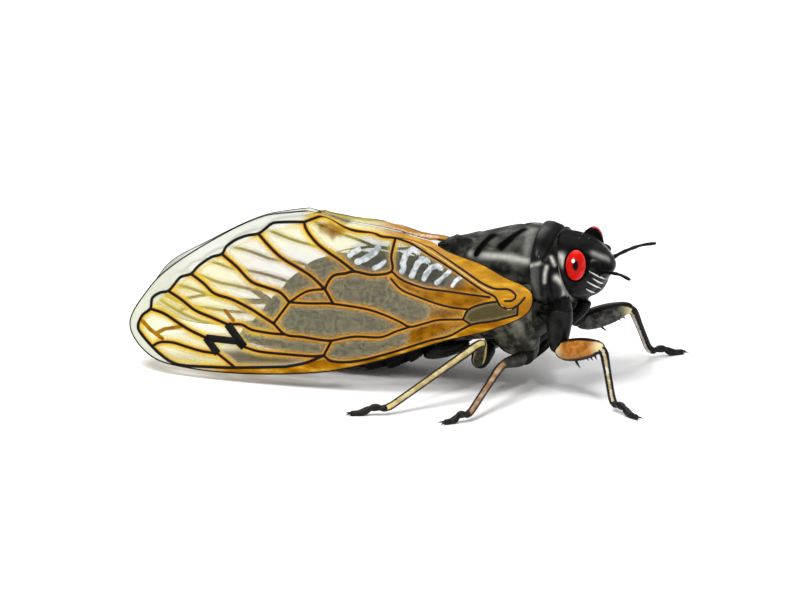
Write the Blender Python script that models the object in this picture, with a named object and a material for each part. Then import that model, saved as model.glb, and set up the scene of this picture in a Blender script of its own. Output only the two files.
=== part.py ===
"""A periodical cicada standing with its wings folded, life size, as a still model.

It faces +X, its left side is +Y, and its six feet stand on z = 0. Sizes in this file are
millimetres, and node() turns each finished shape into metres.
"""
from math import copysign, cos, exp, pi, radians, sin

import bmesh
import bpy
from mathutils import Matrix, Vector
from mathutils.geometry import delaunay_2d_cdt

MM = 0.001
GAP = 0.3
HALF_GAP = GAP / 2
WELD = 0.005

# Body: stations along the animal, each with its half width, bottom, widest level and top,
# and how square it is above and below that level (2 is an oval)
BODY_SIDES = 20
HEAD_STATIONS = (
    (13.6, 3.45, 7.75, 10.6, 12.90, 2.1, 2.1),
    (14.8, 3.50, 7.50, 10.6, 12.80, 2.1, 2.1),
    (15.8, 3.25, 7.45, 10.6, 12.55, 2.1, 2.1),
    (16.7, 2.70, 7.90, 10.5, 12.20, 2.0, 2.0),
    (17.3, 2.20, 8.55, 10.4, 11.80, 2.0, 2.0),
    (17.9, 1.55, 9.25, 10.3, 11.25, 2.0, 2.0),
    (18.25, 0.90, 9.75, 10.25, 10.80, 2.0, 2.0),
)
HEAD_TIP = (18.45, 0, 10.25)
FACE = ((15.95, 0, 9.6), (1.95, 1.75, 2.1))
LOWER_FACE = ((15.6, 0, 8.15), (1.0, 1.45, 1.0))
LEDGE_PLACE = (16.75, 2.15, 10.95)
LEDGE_RADII = (0.85, 0.85, 0.45)
NECK_TOP_X = 13.9
NECK_LEAN = -0.25
NECK_LEVEL = 13.0

PRONOTUM_STATIONS = (
    (12.10, 4.25, 7.00, 10.5, 13.35, 2.2, 2.4),
    (12.45, 4.50, 6.95, 10.5, 13.42, 2.2, 2.4),
    (13.20, 4.40, 6.90, 10.3, 13.25, 2.2, 2.6),
    (14.00, 4.05, 6.95, 10.2, 13.05, 2.2, 2.6),
    (15.40, 3.70, 7.20, 10.1, 12.90, 2.2, 2.4),
)

MESONOTUM_STATIONS = (
    (11.80, 4.30, 8.2, 9.6, 13.25, 2.2, 2.0),
    (10.30, 4.20, 8.2, 9.6, 13.15, 2.2, 2.0),
    (8.60, 3.80, 8.2, 9.6, 12.80, 2.1, 2.0),
    (7.20, 3.00, 8.4, 9.6, 12.45, 2.0, 2.0),
    (5.90, 1.95, 8.7, 9.7, 12.10, 2.0, 2.0),
    (4.70, 0.95, 9.2, 10.0, 11.80, 2.0, 2.0),
    (3.90, 0.45, 9.8, 10.4, 11.55, 2.0, 2.0),
)
MESONOTUM_BASE = 9.6
LOBE_PLACE = (14.0, 3.45, 9.2)
LOBE_RADII = (0.8, 0.85, 1.45)
FLANK_INSET = 0.62
CHEST_SPREAD = 0.17

BREAST_CENTRE = (11.9, 0, 5.3)
BREAST_RADII = (1.35, 3.9, 1.25)
THORAX_STATIONS = (
    (11.80, 4.20, 4.1, 8.0, 12.0, 2.1, 2.6),
    (10.30, 4.45, 3.9, 7.6, 12.0, 2.1, 2.6),
    (8.60, 4.35, 3.7, 7.2, 12.0, 2.1, 2.6),
    (6.90, 3.90, 3.4, 6.8, 11.8, 2.1, 2.4),
    (5.20, 3.50, 3.0, 6.4, 11.6, 2.0, 2.4),
    (3.40, 3.30, 2.6, 6.1, 11.0, 2.0, 2.4),
)

# Abdomen: the same sizes, read off between its rings
ABDOMEN_FRONT = 3.1
ABDOMEN_TIP = -13.4
TAIL_TIP = (-13.6, 0, 2.1)
ABDOMEN_RINGS = 9
RING_STEP = 0.965
RING_LIP = 0.12
ABDOMEN_STATIONS = (
    (3.1, 3.10, 2.20, 5.6, 9.80, 2.0, 2.8),
    (1.0, 3.28, 0.85, 5.1, 10.05, 1.95, 3.2),
    (-1.5, 3.42, 0.34, 4.8, 10.25, 1.95, 4.0),
    (-4.0, 3.32, 0.34, 4.6, 10.05, 1.95, 4.0),
    (-6.5, 3.00, 0.55, 4.5, 9.45, 2.0, 3.0),
    (-8.7, 2.50, 0.80, 4.1, 7.90, 2.0, 2.6),
    (-10.7, 1.90, 1.10, 3.5, 5.70, 2.0, 2.3),
    (-12.4, 1.10, 1.40, 2.6, 3.50, 2.0, 2.0),
    (-13.4, 0.45, 1.70, 2.1, 2.50, 2.0, 2.0),
)

# Eyes lean in at the top and stand on flats of the head
EYE_CENTRE = (15.9, 3.35, 11.20)
EYE_RADII = (0.88, 1.30, 1.32)
EYE_LEAN = 13.0
EYE_FLAT = 0.02
EYE_RIM = 0.15
MOUNT_SINK = 0.1

ANTENNA_PATH = ((17.68, 2.78, 10.66), (18.9, 3.75, 10.85), (19.9, 4.55, 10.90), (20.75, 5.2, 10.75))
ANTENNA_RADII = (0.27, 0.25, 0.17, 0.09)

ROSTRUM_PATH = ((15.85, 0, 6.62), (14.9, 0, 5.6), (12.8, 0, 3.3), (10.9, 0, 1.3))
ROSTRUM_RADII = (0.55, 0.46, 0.36, 0.20)

OPERCULUM_CENTRE = (4.45, 1.75, 2.28)
OPERCULUM_RADII = (2.05, 1.35, 0.36)
OPERCULUM_SLOPE = 20.0
OPERCULUM_TILT = 16.0

# Forewing plane: its root, and the directions along and across it on the right side
WING_ROOT = Vector((12.67, -4.80, 8.98))
WING_ALONG = Vector((-0.9885, 0.0290, -0.1482))
WING_UP = Vector((-0.1191, 0.4537, 0.8831))
WING_INWARD = Vector((0.0929, 0.8907, -0.4451))
WING_BULGE = Vector((0.2064, -0.9311, 0.3007))
BULGE_HEIGHT = 0.8
BULGE_SPAN = 16.0
WING_LENGTH = 35.2
TUCKS = ((9.6, 3.4, 1.15, -1.0), (29.0, 5.0, 1.05, 1.0))
TUCK_RISE = 5.5
MIDLINE_CLEAR = 0.2
LEVEL_START = 3.5
LEVEL_RUN = 6.0
MEMBRANE = 0.5

# Outline and fold line of the forewing, in millimetres along and across its plane
FOREWING_EDGE = (
    (0.25, -0.3), (0.9, -1.8), (4.1, -2.9), (7.9, -3.5), (11.8, -4.4), (14.9, -5.0), (19.0, -5.4),
    (24.9, -5.1), (29.9, -4.3), (33.4, -3.0), (35.2, -0.2), (33.6, 2.6), (31.3, 4.6), (27.1, 6.8),
    (23.5, 8.1), (21.0, 8.3), (18.4, 8.3), (16.0, 8.1), (13.5, 7.6), (11.5, 7.2), (9.9, 6.6),
    (8.4, 5.1), (6.4, 3.75), (4.5, 2.7), (2.6, 1.5), (0.9, 0.6),
)
FOLD_LINE = (
    (0.0, -0.6), (1.4, -0.3), (3.3, 0.5), (5.0, 1.4), (6.8, 2.8), (8.9, 4.4), (11.8, 5.5),
    (14.0, 6.1), (16.3, 6.7), (18.6, 7.9), (21.0, 9.0), (40.0, 9.0),
)
HINDWING_EDGE = (
    (5.3, -0.2), (6.6, -1.7), (10.0, -2.6), (14.0, -3.3), (18.0, -3.3), (21.0, -2.4), (22.4, -0.6),
    (21.6, 1.6), (19.0, 3.3), (16.0, 3.8), (12.5, 2.8), (9.5, 1.7), (7.0, 0.8),
)
HINDWING_SINK = 1.0
MESH_STEP = 1.3
FOREWING_GRID = 2.2
HINDWING_GRID = 2.6
ROW_STEP = 0.87
GRID_ROWS = range(-4, 6)
FOLD_START = 1.5
FOLD_RUN = 19
FOLD_CLEAR = 1.1
POINT_CLEAR = 0.9
CREST_INSET = 0.25
FOOT_INSET = 0.3
FILL_INSET = 0.7
FOOT_CLEAR = 0.9

# Places where the forewing's veins meet, along and across its plane, named from the rim inwards
MEET = {
    "rim 0": (19.9, 7.4), "rim 1": (23.9, 6.7), "rim 2": (27.1, 5.2), "rim 3": (29.8, 3.7),
    "rim 4": (31.8, 2.4), "rim 5": (33.4, 1.0), "rim 6": (33.3, -2.2), "rim 7": (26.1, -4.5),
    "bend": (18.4, -4.0), "cell 1": (18.2, 1.6), "cell 2": (21.3, 0.7), "cell 3": (22.7, -1.0),
    "dark 1": (27.6, -3.2), "dark 2": (28.6, -1.8), "dark 3": (25.8, -2.3), "dark 4": (26.7, -0.8),
    "dark 5": (25.3, -2.8), "arch": (15.6, 2.9), "fork": (12.4, 2.7), "fold knee": (12.0, 5.4),
    "fold end": (18.5, 7.7), "middle 1": (17.5, 0.3), "middle 2": (10.9, -2.1), "root 1": (6.3, -1.9),
    "root 2": (3.6, -0.2), "cross": (17.7, -2.8), "branch": (21.7, -2.0),
}
# Each vein runs from one of these places to another, through the points between them
VEINS = (
    ("rim 0", (22.3, 7.5), "rim 1"), ("rim 1", (25.6, 6.4), "rim 2"), ("rim 2", (28.8, 4.6), "rim 3"),
    ("rim 3", (31.1, 3.1), "rim 4"), ("rim 4", (32.9, 2.1), "rim 5"),
    ("rim 5", (34.4, -0.2), (34.2, -1.2), "rim 6"), ("rim 6", (31.4, -3.7), (28.4, -4.3), "rim 7"),
    ("rim 7", (22.3, -4.7), "bend"),
    ("rim 0", (18.9, 5.6), (17.0, 4.0), "arch"), ("rim 1", (21.9, 4.5), (19.6, 2.9), "cell 1"),
    ("rim 2", (24.6, 2.7), "cell 2"), ("rim 3", (27.6, 1.8), (25.2, 0.7), "cell 3"),
    ("rim 4", (29.5, 0.6), (28.1, -0.1), "dark 4"), ("rim 5", (30.8, -0.5), "dark 2"),
    ("rim 6", (30.9, -2.2), "dark 1"), ("rim 7", "dark 1"),
    ("dark 1", "dark 2"), ("dark 2", "dark 3"), ("dark 3", "dark 5"), ("dark 5", "dark 4"),
    ("cell 1", (17.4, 2.7), "arch"), ("arch", (14.0, 2.5), "fork"), ("fork", (12.4, 3.9), "fold knee"),
    ("rim 0", "fold end"), ("fold end", (16.3, 6.7), (14.2, 6.1), "fold knee"),
    ("cell 1", "middle 1"), ("cell 2", (19.8, 0.5), "middle 1"), ("middle 1", (13.8, -0.7), "middle 2"),
    ("middle 2", (8.4, -1.7), "root 1"), ("middle 2", (13.5, -2.8), (15.7, -2.6), "cross"),
    ("cell 1", "cell 2"), ("cell 2", "cell 3"), ("cell 3", "branch"), ("branch", (19.6, -2.5), "cross"),
    ("cross", "bend"), ("dark 4", (24.6, -1.4), "branch"), ("dark 5", (22.4, -3.6), "bend"),
    ("bend", (14.9, -4.3), (11.8, -3.6), (9.0, -2.9), "root 1"),
    ("fork", (9.7, 1.1), (6.6, 0.4), "root 2"), ("fork", (10.2, 0.3), "root 1"),
    ("fold knee", (9.6, 4.3), (6.9, 2.6), (4.6, 0.9), "root 2"),
    ("root 1", (4.6, -1.2), "root 2"),
)
HINDWING_VEINS = (
    ((6.0, -0.5), (10.0, -1.6), (15.0, -2.2), (20.0, -1.7)),
    ((6.0, -0.5), (11.0, -0.4), (16.0, -0.2), (21.2, 0.2)),
    ((6.0, -0.5), (11.0, 0.8), (15.5, 1.6), (20.4, 1.9)),
    ((6.0, -0.5), (10.0, 1.2), (13.5, 2.3), (16.5, 3.1)),
)
VEIN_HEIGHT = 0.16
VEIN_HALF_WIDTH = 0.34
VEIN_STEP = 1.5

# Legs: coxa top, coxa end, knee, ankle and toe of the left side, and how far each bend is rounded
LEGS = {
    "front": {
        "corners": ((14.35, 2.95, 7.05), (14.35, 3.95, 3.75), (18.6, 5.7, 5.0), (19.8, 7.4, 0.55),
                    (22.25, 9.25, 0.16)),
        "coxa": (1.0, 0.90, 0.56),
        "femur": (0.52, 0.88, 0.93, 0.70, 0.42),
        "tibia": (0.37, 0.35, 0.33, 0.32, 0.32),
        "thorn places": ((0.34, 1.0), (0.60, 0.45), (0.70, 0.45), (0.80, 0.42)),
        "spur places": ((0.45, 0.35),),
    },
    "mid": {
        "corners": ((11.3, 2.1, 3.35), (11.3, 3.35, 2.75), (10.3, 7.0, 3.3), (8.7, 12.7, 0.50),
                    (6.9, 14.0, 0.16)),
        "coxa": (0.9, 0.88, 0.62),
        "femur": (0.60, 0.62, 0.52, 0.42, 0.34),
        "tibia": (0.36, 0.34, 0.32, 0.31, 0.31),
        "thorn places": (),
        "spur places": ((0.55, 0.4), (0.88, 0.4)),
    },
    "hind": {
        "corners": ((7.75, 1.8, 2.9), (7.45, 3.3, 1.95), (8.5, 6.0, 4.9), (1.7, 12.5, 0.50),
                    (-1.2, 13.3, 0.16)),
        "coxa": (0.9, 0.8, 0.52),
        "femur": (0.46, 0.54, 0.52, 0.44, 0.36),
        "tibia": (0.36, 0.34, 0.32, 0.31, 0.31),
        "thorn places": (),
        "spur places": ((0.35, 0.4), (0.6, 0.4), (0.9, 0.45)),
    },
}
BEND_REACH = 0.9
TARSUS_RADII = (0.27, 0.28, 0.26, 0.30, 0.24)
TARSUS_ARCH = 0.38
ARCH_PLACE = 0.35
PAD_LENGTH = 0.85
THIGH_FLATNESS = 0.85
THORN_SINK = 0.35
THORN_LEAN = 0.25
THORN_RADIUS = 0.16
THORN_GROWTH = 0.08
SPUR_SINK = 0.25
SPUR_LEAN = 0.9
SPUR_RADIUS = 0.13
SPUR_OUT = Vector((0, -0.6, 0))
LEG_STEPS = (0.0, 0.06, 0.14, 0.32, 0.52, 0.72, 0.87, 0.94, 1.0)
COXA_STEPS = (0.0, 0.35, 0.7, 0.86, 1.0)
LEG_SIDES = 8
CLAW_LENGTH = 0.75
CLAW_RADIUS = 0.13
CLAW_SPLAY = 28.0
CLAW_SINK = 0.3
SHARP_ANGLE = 40.0

COLOURS = {
    "shell": ((0.012, 0.012, 0.012), 0.25),
    "eye": ((0.72, 0.02, 0.01), 0.2),
    "membrane": ((0.85, 0.80, 0.62), 0.35),
    "leg": ((0.42, 0.20, 0.05), 0.4),
    "foot": ((0.015, 0.013, 0.012), 0.45),
}


def material(name):
    """The one material of this name, made on first use."""
    made = bpy.data.materials.get(name)
    if made:
        return made
    made = bpy.data.materials.new(name)
    made.use_nodes = True
    colour, roughness = COLOURS[name]
    shader = made.node_tree.nodes["Principled BSDF"]
    shader.inputs["Base Color"].default_value = (*colour, 1)
    shader.inputs["Roughness"].default_value = roughness
    shader.inputs["Metallic"].default_value = 0.0
    return made


def node(name, shape, finish):
    """Makes the named object of a shape in millimetres, with its origin at its middle."""
    low = [min(v.co[axis] for v in shape.verts) for axis in range(3)]
    high = [max(v.co[axis] for v in shape.verts) for axis in range(3)]
    middle = (Vector(low) + Vector(high)) / 2
    bmesh.ops.translate(shape, verts=shape.verts, vec=-middle)
    bmesh.ops.scale(shape, verts=shape.verts, vec=(MM, MM, MM))
    mesh = bpy.data.meshes.new(name)
    shape.to_mesh(mesh)
    shape.free()
    mesh.materials.append(material(finish))
    mesh.shade_smooth()
    mesh.set_sharp_from_angle(angle=radians(SHARP_ANGLE))
    thing = bpy.data.objects.new(name, mesh)
    thing.location = middle * MM
    bpy.context.collection.objects.link(thing)
    return thing


def mirrored(shape):
    """A copy of a shape on the other side of the body."""
    other = shape.copy()
    bmesh.ops.scale(other, verts=other.verts, vec=(1, -1, 1))
    bmesh.ops.reverse_faces(other, faces=other.faces)
    return other


def pair(name, right, finish):
    """The right and the left node of a shape that is given on the right side."""
    left = mirrored(right)
    node(name + "_right", right, finish)
    node(name + "_left", left, finish)


def loft(rings, tip=None):
    """A closed shape through rings of points, flat at its ends or drawn to a tip."""
    shape = bmesh.new()
    rows = [[shape.verts.new(point) for point in ring] for ring in rings]
    count = len(rows[0])
    for near, far in zip(rows, rows[1:]):
        for i in range(count):
            k = (i + 1) % count
            shape.faces.new((near[i], near[k], far[k], far[i]))
    shape.faces.new(reversed(rows[0]))
    if tip is None:
        shape.faces.new(rows[-1])
    else:
        point = shape.verts.new(tip)
        for i in range(count):
            shape.faces.new((rows[-1][i], rows[-1][(i + 1) % count], point))
    outward(shape)
    return shape


def outward(shape):
    """Turns all faces of a closed shape outward."""
    bmesh.ops.recalc_face_normals(shape, faces=shape.faces)
    if shape.calc_volume(signed=True) < 0:
        bmesh.ops.reverse_faces(shape, faces=shape.faces)


def section(x, half_width, bottom, widest, top, square_above, square_below):
    """One upright cross-section of the body."""
    ring = []
    for step in range(BODY_SIDES):
        angle = 2 * pi * step / BODY_SIDES
        square, height = (square_above, top - widest) if angle < pi else (square_below, widest - bottom)
        across = copysign(abs(cos(angle)) ** (2 / square), cos(angle))
        rise = copysign(abs(sin(angle)) ** (2 / square), sin(angle))
        ring.append(Vector((x, half_width * across, widest + height * rise)))
    return ring


def ball(centre, radii, turn=None, around=16, levels=10):
    """An ellipsoid."""
    shape = bmesh.new()
    place = Matrix.Translation(centre) @ (turn or Matrix()) @ Matrix.Diagonal((*radii, 1))
    bmesh.ops.create_uvsphere(shape, u_segments=around, v_segments=levels, radius=1, matrix=place)
    return shape


def cut(shape, point, away):
    """Cuts a closed shape by a plane, drops the side that away points to, and caps it."""
    everything = shape.verts[:] + shape.edges[:] + shape.faces[:]
    bmesh.ops.bisect_plane(
        shape, geom=everything, dist=1e-5, plane_co=point, plane_no=away, clear_outer=True
    )
    open_edges = [edge for edge in shape.edges if edge.is_boundary]
    bmesh.ops.edgeloop_fill(shape, edges=open_edges)
    bmesh.ops.remove_doubles(shape, verts=shape.verts, dist=WELD)
    outward(shape)


def islands(shape):
    """The separate surfaces of a shape, as lists of faces."""
    left = set(shape.faces)
    found = []
    while left:
        stack = [left.pop()]
        island = []
        while stack:
            face = stack.pop()
            island.append(face)
            for edge in face.edges:
                for other in edge.link_faces:
                    if other in left:
                        left.remove(other)
                        stack.append(other)
        found.append(island)
    return found


def enclosed(faces):
    """The volume inside a closed surface."""
    total = 0
    for face in faces:
        corners = [v.co for v in face.verts]
        for b, c in zip(corners[1:], corners[2:]):
            total += corners[0].dot(b.cross(c)) / 6
    return total


def keep_largest(shape):
    """Drops all but the largest closed surface."""
    ranked = sorted(islands(shape), key=enclosed, reverse=True)
    spare = [face for island in ranked[1:] for face in island]
    bmesh.ops.delete(shape, geom=spare, context="FACES")
    loose = [v for v in shape.verts if not v.link_faces]
    bmesh.ops.delete(shape, geom=loose, context="VERTS")


def plain_object(shape, collection):
    """A passing object that holds one piece of a union."""
    mesh = bpy.data.meshes.new("piece")
    shape.to_mesh(mesh)
    shape.free()
    thing = bpy.data.objects.new("piece", mesh)
    collection.objects.link(thing)
    return thing


def fuse(pieces):
    """One closed shape from overlapping ones."""
    if len(pieces) == 1:
        return pieces[0]
    scene_collection = bpy.context.scene.collection
    rest = bpy.data.collections.new("pieces")
    scene_collection.children.link(rest)
    base = plain_object(pieces[0], scene_collection)
    for piece in pieces[1:]:
        plain_object(piece, rest)
    union = base.modifiers.new("union", "BOOLEAN")
    union.operation = "UNION"
    union.operand_type = "COLLECTION"
    union.collection = rest
    union.solver = "EXACT"
    graph = bpy.context.evaluated_depsgraph_get()
    result = bmesh.new()
    result.from_mesh(base.evaluated_get(graph).to_mesh())
    for thing in [base, *rest.objects]:
        bpy.data.objects.remove(thing)
    bpy.data.collections.remove(rest)
    bmesh.ops.remove_doubles(result, verts=result.verts, dist=WELD)
    keep_largest(result)
    return result


def between(table, place):
    """Reads a table of rows, each beginning with its place, between its rows."""
    rows = sorted(table)
    place = min(max(place, rows[0][0]), rows[-1][0])
    for low, high in zip(rows, rows[1:]):
        if place <= high[0]:
            share = (place - low[0]) / (high[0] - low[0])
            return [a + (b - a) * share for a, b in zip(low[1:], high[1:])]
    return list(rows[-1][1:])


def spline(points, step, closed=False):
    """Points about one step apart on a smooth curve through the given points."""
    points = [Vector(p) for p in points]
    if closed:
        padded = [points[-1], *points, points[0], points[1]]
    else:
        first = points[0] * 2 - points[1]
        last = points[-1] * 2 - points[-2]
        padded = [first, *points, last]
    line = []
    for a, b, c, d in zip(padded, padded[1:], padded[2:], padded[3:]):
        parts = max(1, round((c - b).length / step))
        for i in range(parts):
            u = i / parts
            line.append(
                (b * 2 + (c - a) * u + (a * 2 - b * 5 + c * 4 - d) * u**2
                 + (b * 3 - a - c * 3 + d) * u**3) / 2
            )
    if not closed:
        line.append(points[-1])
    return line


# Paths and tubes
def rounded_path(corners, reach, steps=4):
    """A path with its inner corners rounded, and the place along it of each corner's middle."""
    corners = [Vector(c) for c in corners]
    points = [corners[0]]
    middles = []
    for before, corner, after in zip(corners, corners[1:], corners[2:]):
        back = min(reach, (before - corner).length * 0.45)
        on = min(reach, (after - corner).length * 0.45)
        start = corner + (before - corner).normalized() * back
        end = corner + (after - corner).normalized() * on
        for i in range(2 * steps + 1):
            u = i / (2 * steps)
            points.append(start * (1 - u) ** 2 + corner * 2 * u * (1 - u) + end * u**2)
            if i == steps:
                middles.append(path_length(points))
    points.append(corners[-1])
    return points, middles


def path_length(points):
    """The length of a path."""
    return sum((b - a).length for a, b in zip(points, points[1:]))


def path_place(points, distance):
    """The point at a distance along a path, and the direction there."""
    for a, b in zip(points, points[1:]):
        step = (b - a).length
        if distance <= step:
            return a + (b - a) * (distance / step), (b - a).normalized()
        distance -= step
    return points[-1], (points[-1] - points[-2]).normalized()


def tube(points, start, end, radii, steps, sides=LEG_SIDES, side=None, flatness=1.0, joints=(0, 0)):
    """A tube along a path from start to end, through radii that are spread evenly over it.

    At a joint its end disc stands square to the path at the joint's middle, half a gap away.
    """
    side = Vector(side or (0, 0, 1))
    table = [(i / (len(radii) - 1), r) for i, r in enumerate(radii)]
    rings = []
    for u in steps:
        centre, ahead = path_place(points, start + (end - start) * u)
        if u == 0 and joints[0]:
            ahead = path_place(points, start - HALF_GAP)[1]
        if u == 1 and joints[1]:
            ahead = path_place(points, end + HALF_GAP)[1]
        wide = (side - ahead * side.dot(ahead)).normalized()
        deep = ahead.cross(wide)
        radius = between(table, u)[0]
        ring = []
        for i in range(sides):
            angle = 2 * pi * (i + 0.5) / sides
            ring.append(centre + wide * (radius * flatness * cos(angle)) + deep * (radius * sin(angle)))
        rings.append(ring)
    return loft(rings)


def spike(root, direction, length, radius):
    """A cone whose root is sunk into what carries it."""
    direction = Vector(direction).normalized()
    shape = bmesh.new()
    turn = direction.to_track_quat("Z", "Y").to_matrix().to_4x4()
    place = Matrix.Translation(Vector(root) + direction * length / 2) @ turn
    bmesh.ops.create_cone(
        shape, cap_ends=True, segments=5, radius1=radius, radius2=radius * 0.15, depth=length,
        matrix=place,
    )
    return shape


# Head and what it carries
def neck_plane(offset):
    """A point and the forward direction of the plane that parts the head from the collar."""
    direction = Vector((1, 0, -NECK_LEAN)).normalized()
    return Vector((NECK_TOP_X, 0, NECK_LEVEL)) + direction * offset, direction


def eye_frame(side):
    """The place and lean of one eye: side is 1 on the left and -1 on the right."""
    centre = Vector((EYE_CENTRE[0], side * EYE_CENTRE[1], EYE_CENTRE[2]))
    turn = Matrix.Rotation(radians(side * EYE_LEAN), 4, "X")
    return centre, turn, turn @ Vector((0, side, 0))


def head():
    """Cranium with the bulging face, the ledges over the antennae and the mounts of the eyes."""
    skull = loft([section(*row) for row in HEAD_STATIONS], tip=HEAD_TIP)
    pieces = [skull, ball(*FACE), ball(*LOWER_FACE)]
    x, y, z = LEDGE_PLACE
    for side in (-1, 1):
        pieces.append(ball((x, side * y, z), LEDGE_RADII))
        centre, turn, out = eye_frame(side)
        rim = [r + EYE_RIM for r in EYE_RADII]
        mount = ball(centre - out * MOUNT_SINK, (rim[0], EYE_RADII[1], rim[2]), turn)
        cut(mount, centre + out * (EYE_FLAT - HALF_GAP), out)
        pieces.append(mount)
    whole = fuse(pieces)
    point, direction = neck_plane(HALF_GAP)
    cut(whole, point, -direction)
    node("head", whole, "shell")


def eyes():
    """Each eye is the outer part of an ellipsoid, flat where it stands on the head."""
    centre, turn, out = eye_frame(-1)
    shape = ball(centre, EYE_RADII, turn)
    cut(shape, centre + out * (EYE_FLAT + HALF_GAP), -out)
    pair("eye", shape, "eye")


def antennae():
    """Short bristle-like feelers that taper from a thick first joint."""
    path = spline([(x, -y, z) for x, y, z in ANTENNA_PATH], 1.0)
    steps = [i / 6 for i in range(7)]
    pair("antenna", tube(path, 0, path_length(path), ANTENNA_RADII, steps, sides=6), "shell")


def rostrum():
    """The beak, held back under the body between the legs."""
    path = spline(ROSTRUM_PATH, 1.0)
    steps = [i / 7 for i in range(8)]
    whole = tube(path, 0, path_length(path), ROSTRUM_RADII, steps, side=(0, 1, 0))
    node("rostrum", whole, "shell")


# Thorax
def flank(inset, spread):
    """Point and outward direction of the flat beside the right wing, deeper towards the rear."""
    rearward = (WING_ALONG + WING_INWARD * spread).normalized()
    normal = rearward.cross(WING_UP).normalized()
    if normal.dot(WING_INWARD) > 0:
        normal = -normal
    return WING_ROOT + WING_INWARD * inset, normal


def cut_flanks(shape, inset, spread):
    """Cuts both flanks clear of the folded wings."""
    point, normal = flank(inset, spread)
    cut(shape, point, normal)
    cut(shape, Vector((point.x, -point.y, point.z)), Vector((normal.x, -normal.y, normal.z)))


def pronotum():
    """The collar behind the head, with a rounded lobe low on each side."""
    collar = loft([section(*row) for row in PRONOTUM_STATIONS])
    x, y, z = LOBE_PLACE
    lobes = [ball((x, side * y, z), LOBE_RADII) for side in (-1, 1)]
    whole = fuse([collar, *lobes])
    point, direction = neck_plane(-HALF_GAP)
    cut(whole, point, direction)
    node("pronotum", whole, "shell")


def mesonotum():
    """The back between the wing roots, drawn out behind to the shield's point."""
    whole = loft([section(*row) for row in MESONOTUM_STATIONS])
    cut(whole, (0, 0, MESONOTUM_BASE + HALF_GAP), (0, 0, -1))
    cut_flanks(whole, FLANK_INSET, 0.0)
    node("mesonotum", whole, "shell")


def thorax():
    """The deep chest that carries the wings and the two rear pairs of legs."""
    chest = loft([section(*row) for row in THORAX_STATIONS])
    whole = fuse([chest, ball(BREAST_CENTRE, BREAST_RADII)])
    cut(whole, (0, 0, MESONOTUM_BASE - HALF_GAP), (0, 0, 1))
    cut_flanks(whole, FLANK_INSET, CHEST_SPREAD)
    node("thorax", whole, "shell")


# Abdomen
def abdomen():
    """Overlapping rings, each a little wider at its rear edge than the next one begins."""
    rings = []
    length = ABDOMEN_FRONT - ABDOMEN_TIP
    edges = [ABDOMEN_FRONT - length * i / ABDOMEN_RINGS for i in range(ABDOMEN_RINGS + 1)]
    for front, rear in zip(edges, edges[1:]):
        rings.append(abdomen_ring(front, RING_STEP))
        rings.append(abdomen_ring(rear + RING_LIP, 1.0))
    shape = loft(rings, tip=TAIL_TIP)
    node("abdomen", shape, "shell")


def abdomen_ring(x, scale):
    """One outline of the abdomen, scaled about its own middle."""
    half_width, bottom, widest, top, square_above, square_below = between(ABDOMEN_STATIONS, x)
    below = (widest - bottom) * scale
    above = (top - widest) * scale
    return section(
        x, half_width * scale, widest - below, widest, widest + above, square_above, square_below
    )


def opercula():
    """The two plates under the base of the abdomen."""
    x, y, z = OPERCULUM_CENTRE
    turn = Matrix.Rotation(radians(-OPERCULUM_SLOPE), 4, "Y")
    tilt = Matrix.Rotation(radians(-OPERCULUM_TILT), 4, "X")
    pair("operculum", ball((x, -y, z), OPERCULUM_RADII, turn @ tilt, 16, 8), "shell")


# Wings
def smooth_rise(value):
    """0 below 0, 1 above 1, and a smooth rise between them."""
    value = min(max(value, 0.0), 1.0)
    return value * value * (3 - 2 * value)


def wing_point(along, across, sink=0.0):
    """A place on the middle surface of the right forewing, or sunk below it."""
    fold = between(FOLD_LINE, along)[0]
    flat = min(across, fold)
    bulge = BULGE_HEIGHT * sin(pi * min(along / WING_LENGTH, 1)) * cos(pi * flat / BULGE_SPAN)
    tuck = sum(
        depth * exp(-(((along - place) / reach) ** 2)) * smooth_rise((flat - foot) / TUCK_RISE)
        for place, reach, depth, foot in TUCKS
    )
    place = WING_ROOT + WING_ALONG * along + WING_UP * flat + WING_BULGE * (bulge - tuck)
    over = across - fold
    if over > 0:
        level = smooth_rise((along - LEVEL_START) / LEVEL_RUN)
        inward = (WING_UP * (1 - level) + Vector((0, 1, 0)) * level).normalized()
        place += inward * over
    place += WING_INWARD * sink
    place.y = min(place.y, -MIDLINE_CLEAR)
    return place


def vein_lines(veins):
    """Each vein as a row of points about one step apart."""
    return [spline([MEET.get(p, p) for p in vein], VEIN_STEP) for vein in veins]


def off_line(point, line):
    """How far a point lies from a line of points."""
    best = 99.0
    for a, b in zip(line, line[1:]):
        run = b - a
        share = min(max((point - a).dot(run) / run.length_squared, 0), 1)
        best = min(best, (point - a - run * share).length)
    return best


def vein_feet(lines):
    """Points at the feet of the ridges on both sides, left out where ridges run together."""
    feet = []
    for line in lines:
        for a, b in zip(line, line[1:]):
            aside = Vector((a.y - b.y, b.x - a.x)).normalized() * VEIN_HALF_WIDTH
            for foot in ((a + b) / 2 + aside, (a + b) / 2 - aside):
                if all(off_line(foot, other) > VEIN_HALF_WIDTH * FOOT_CLEAR for other in lines):
                    feet.append(foot)
    return feet


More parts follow.
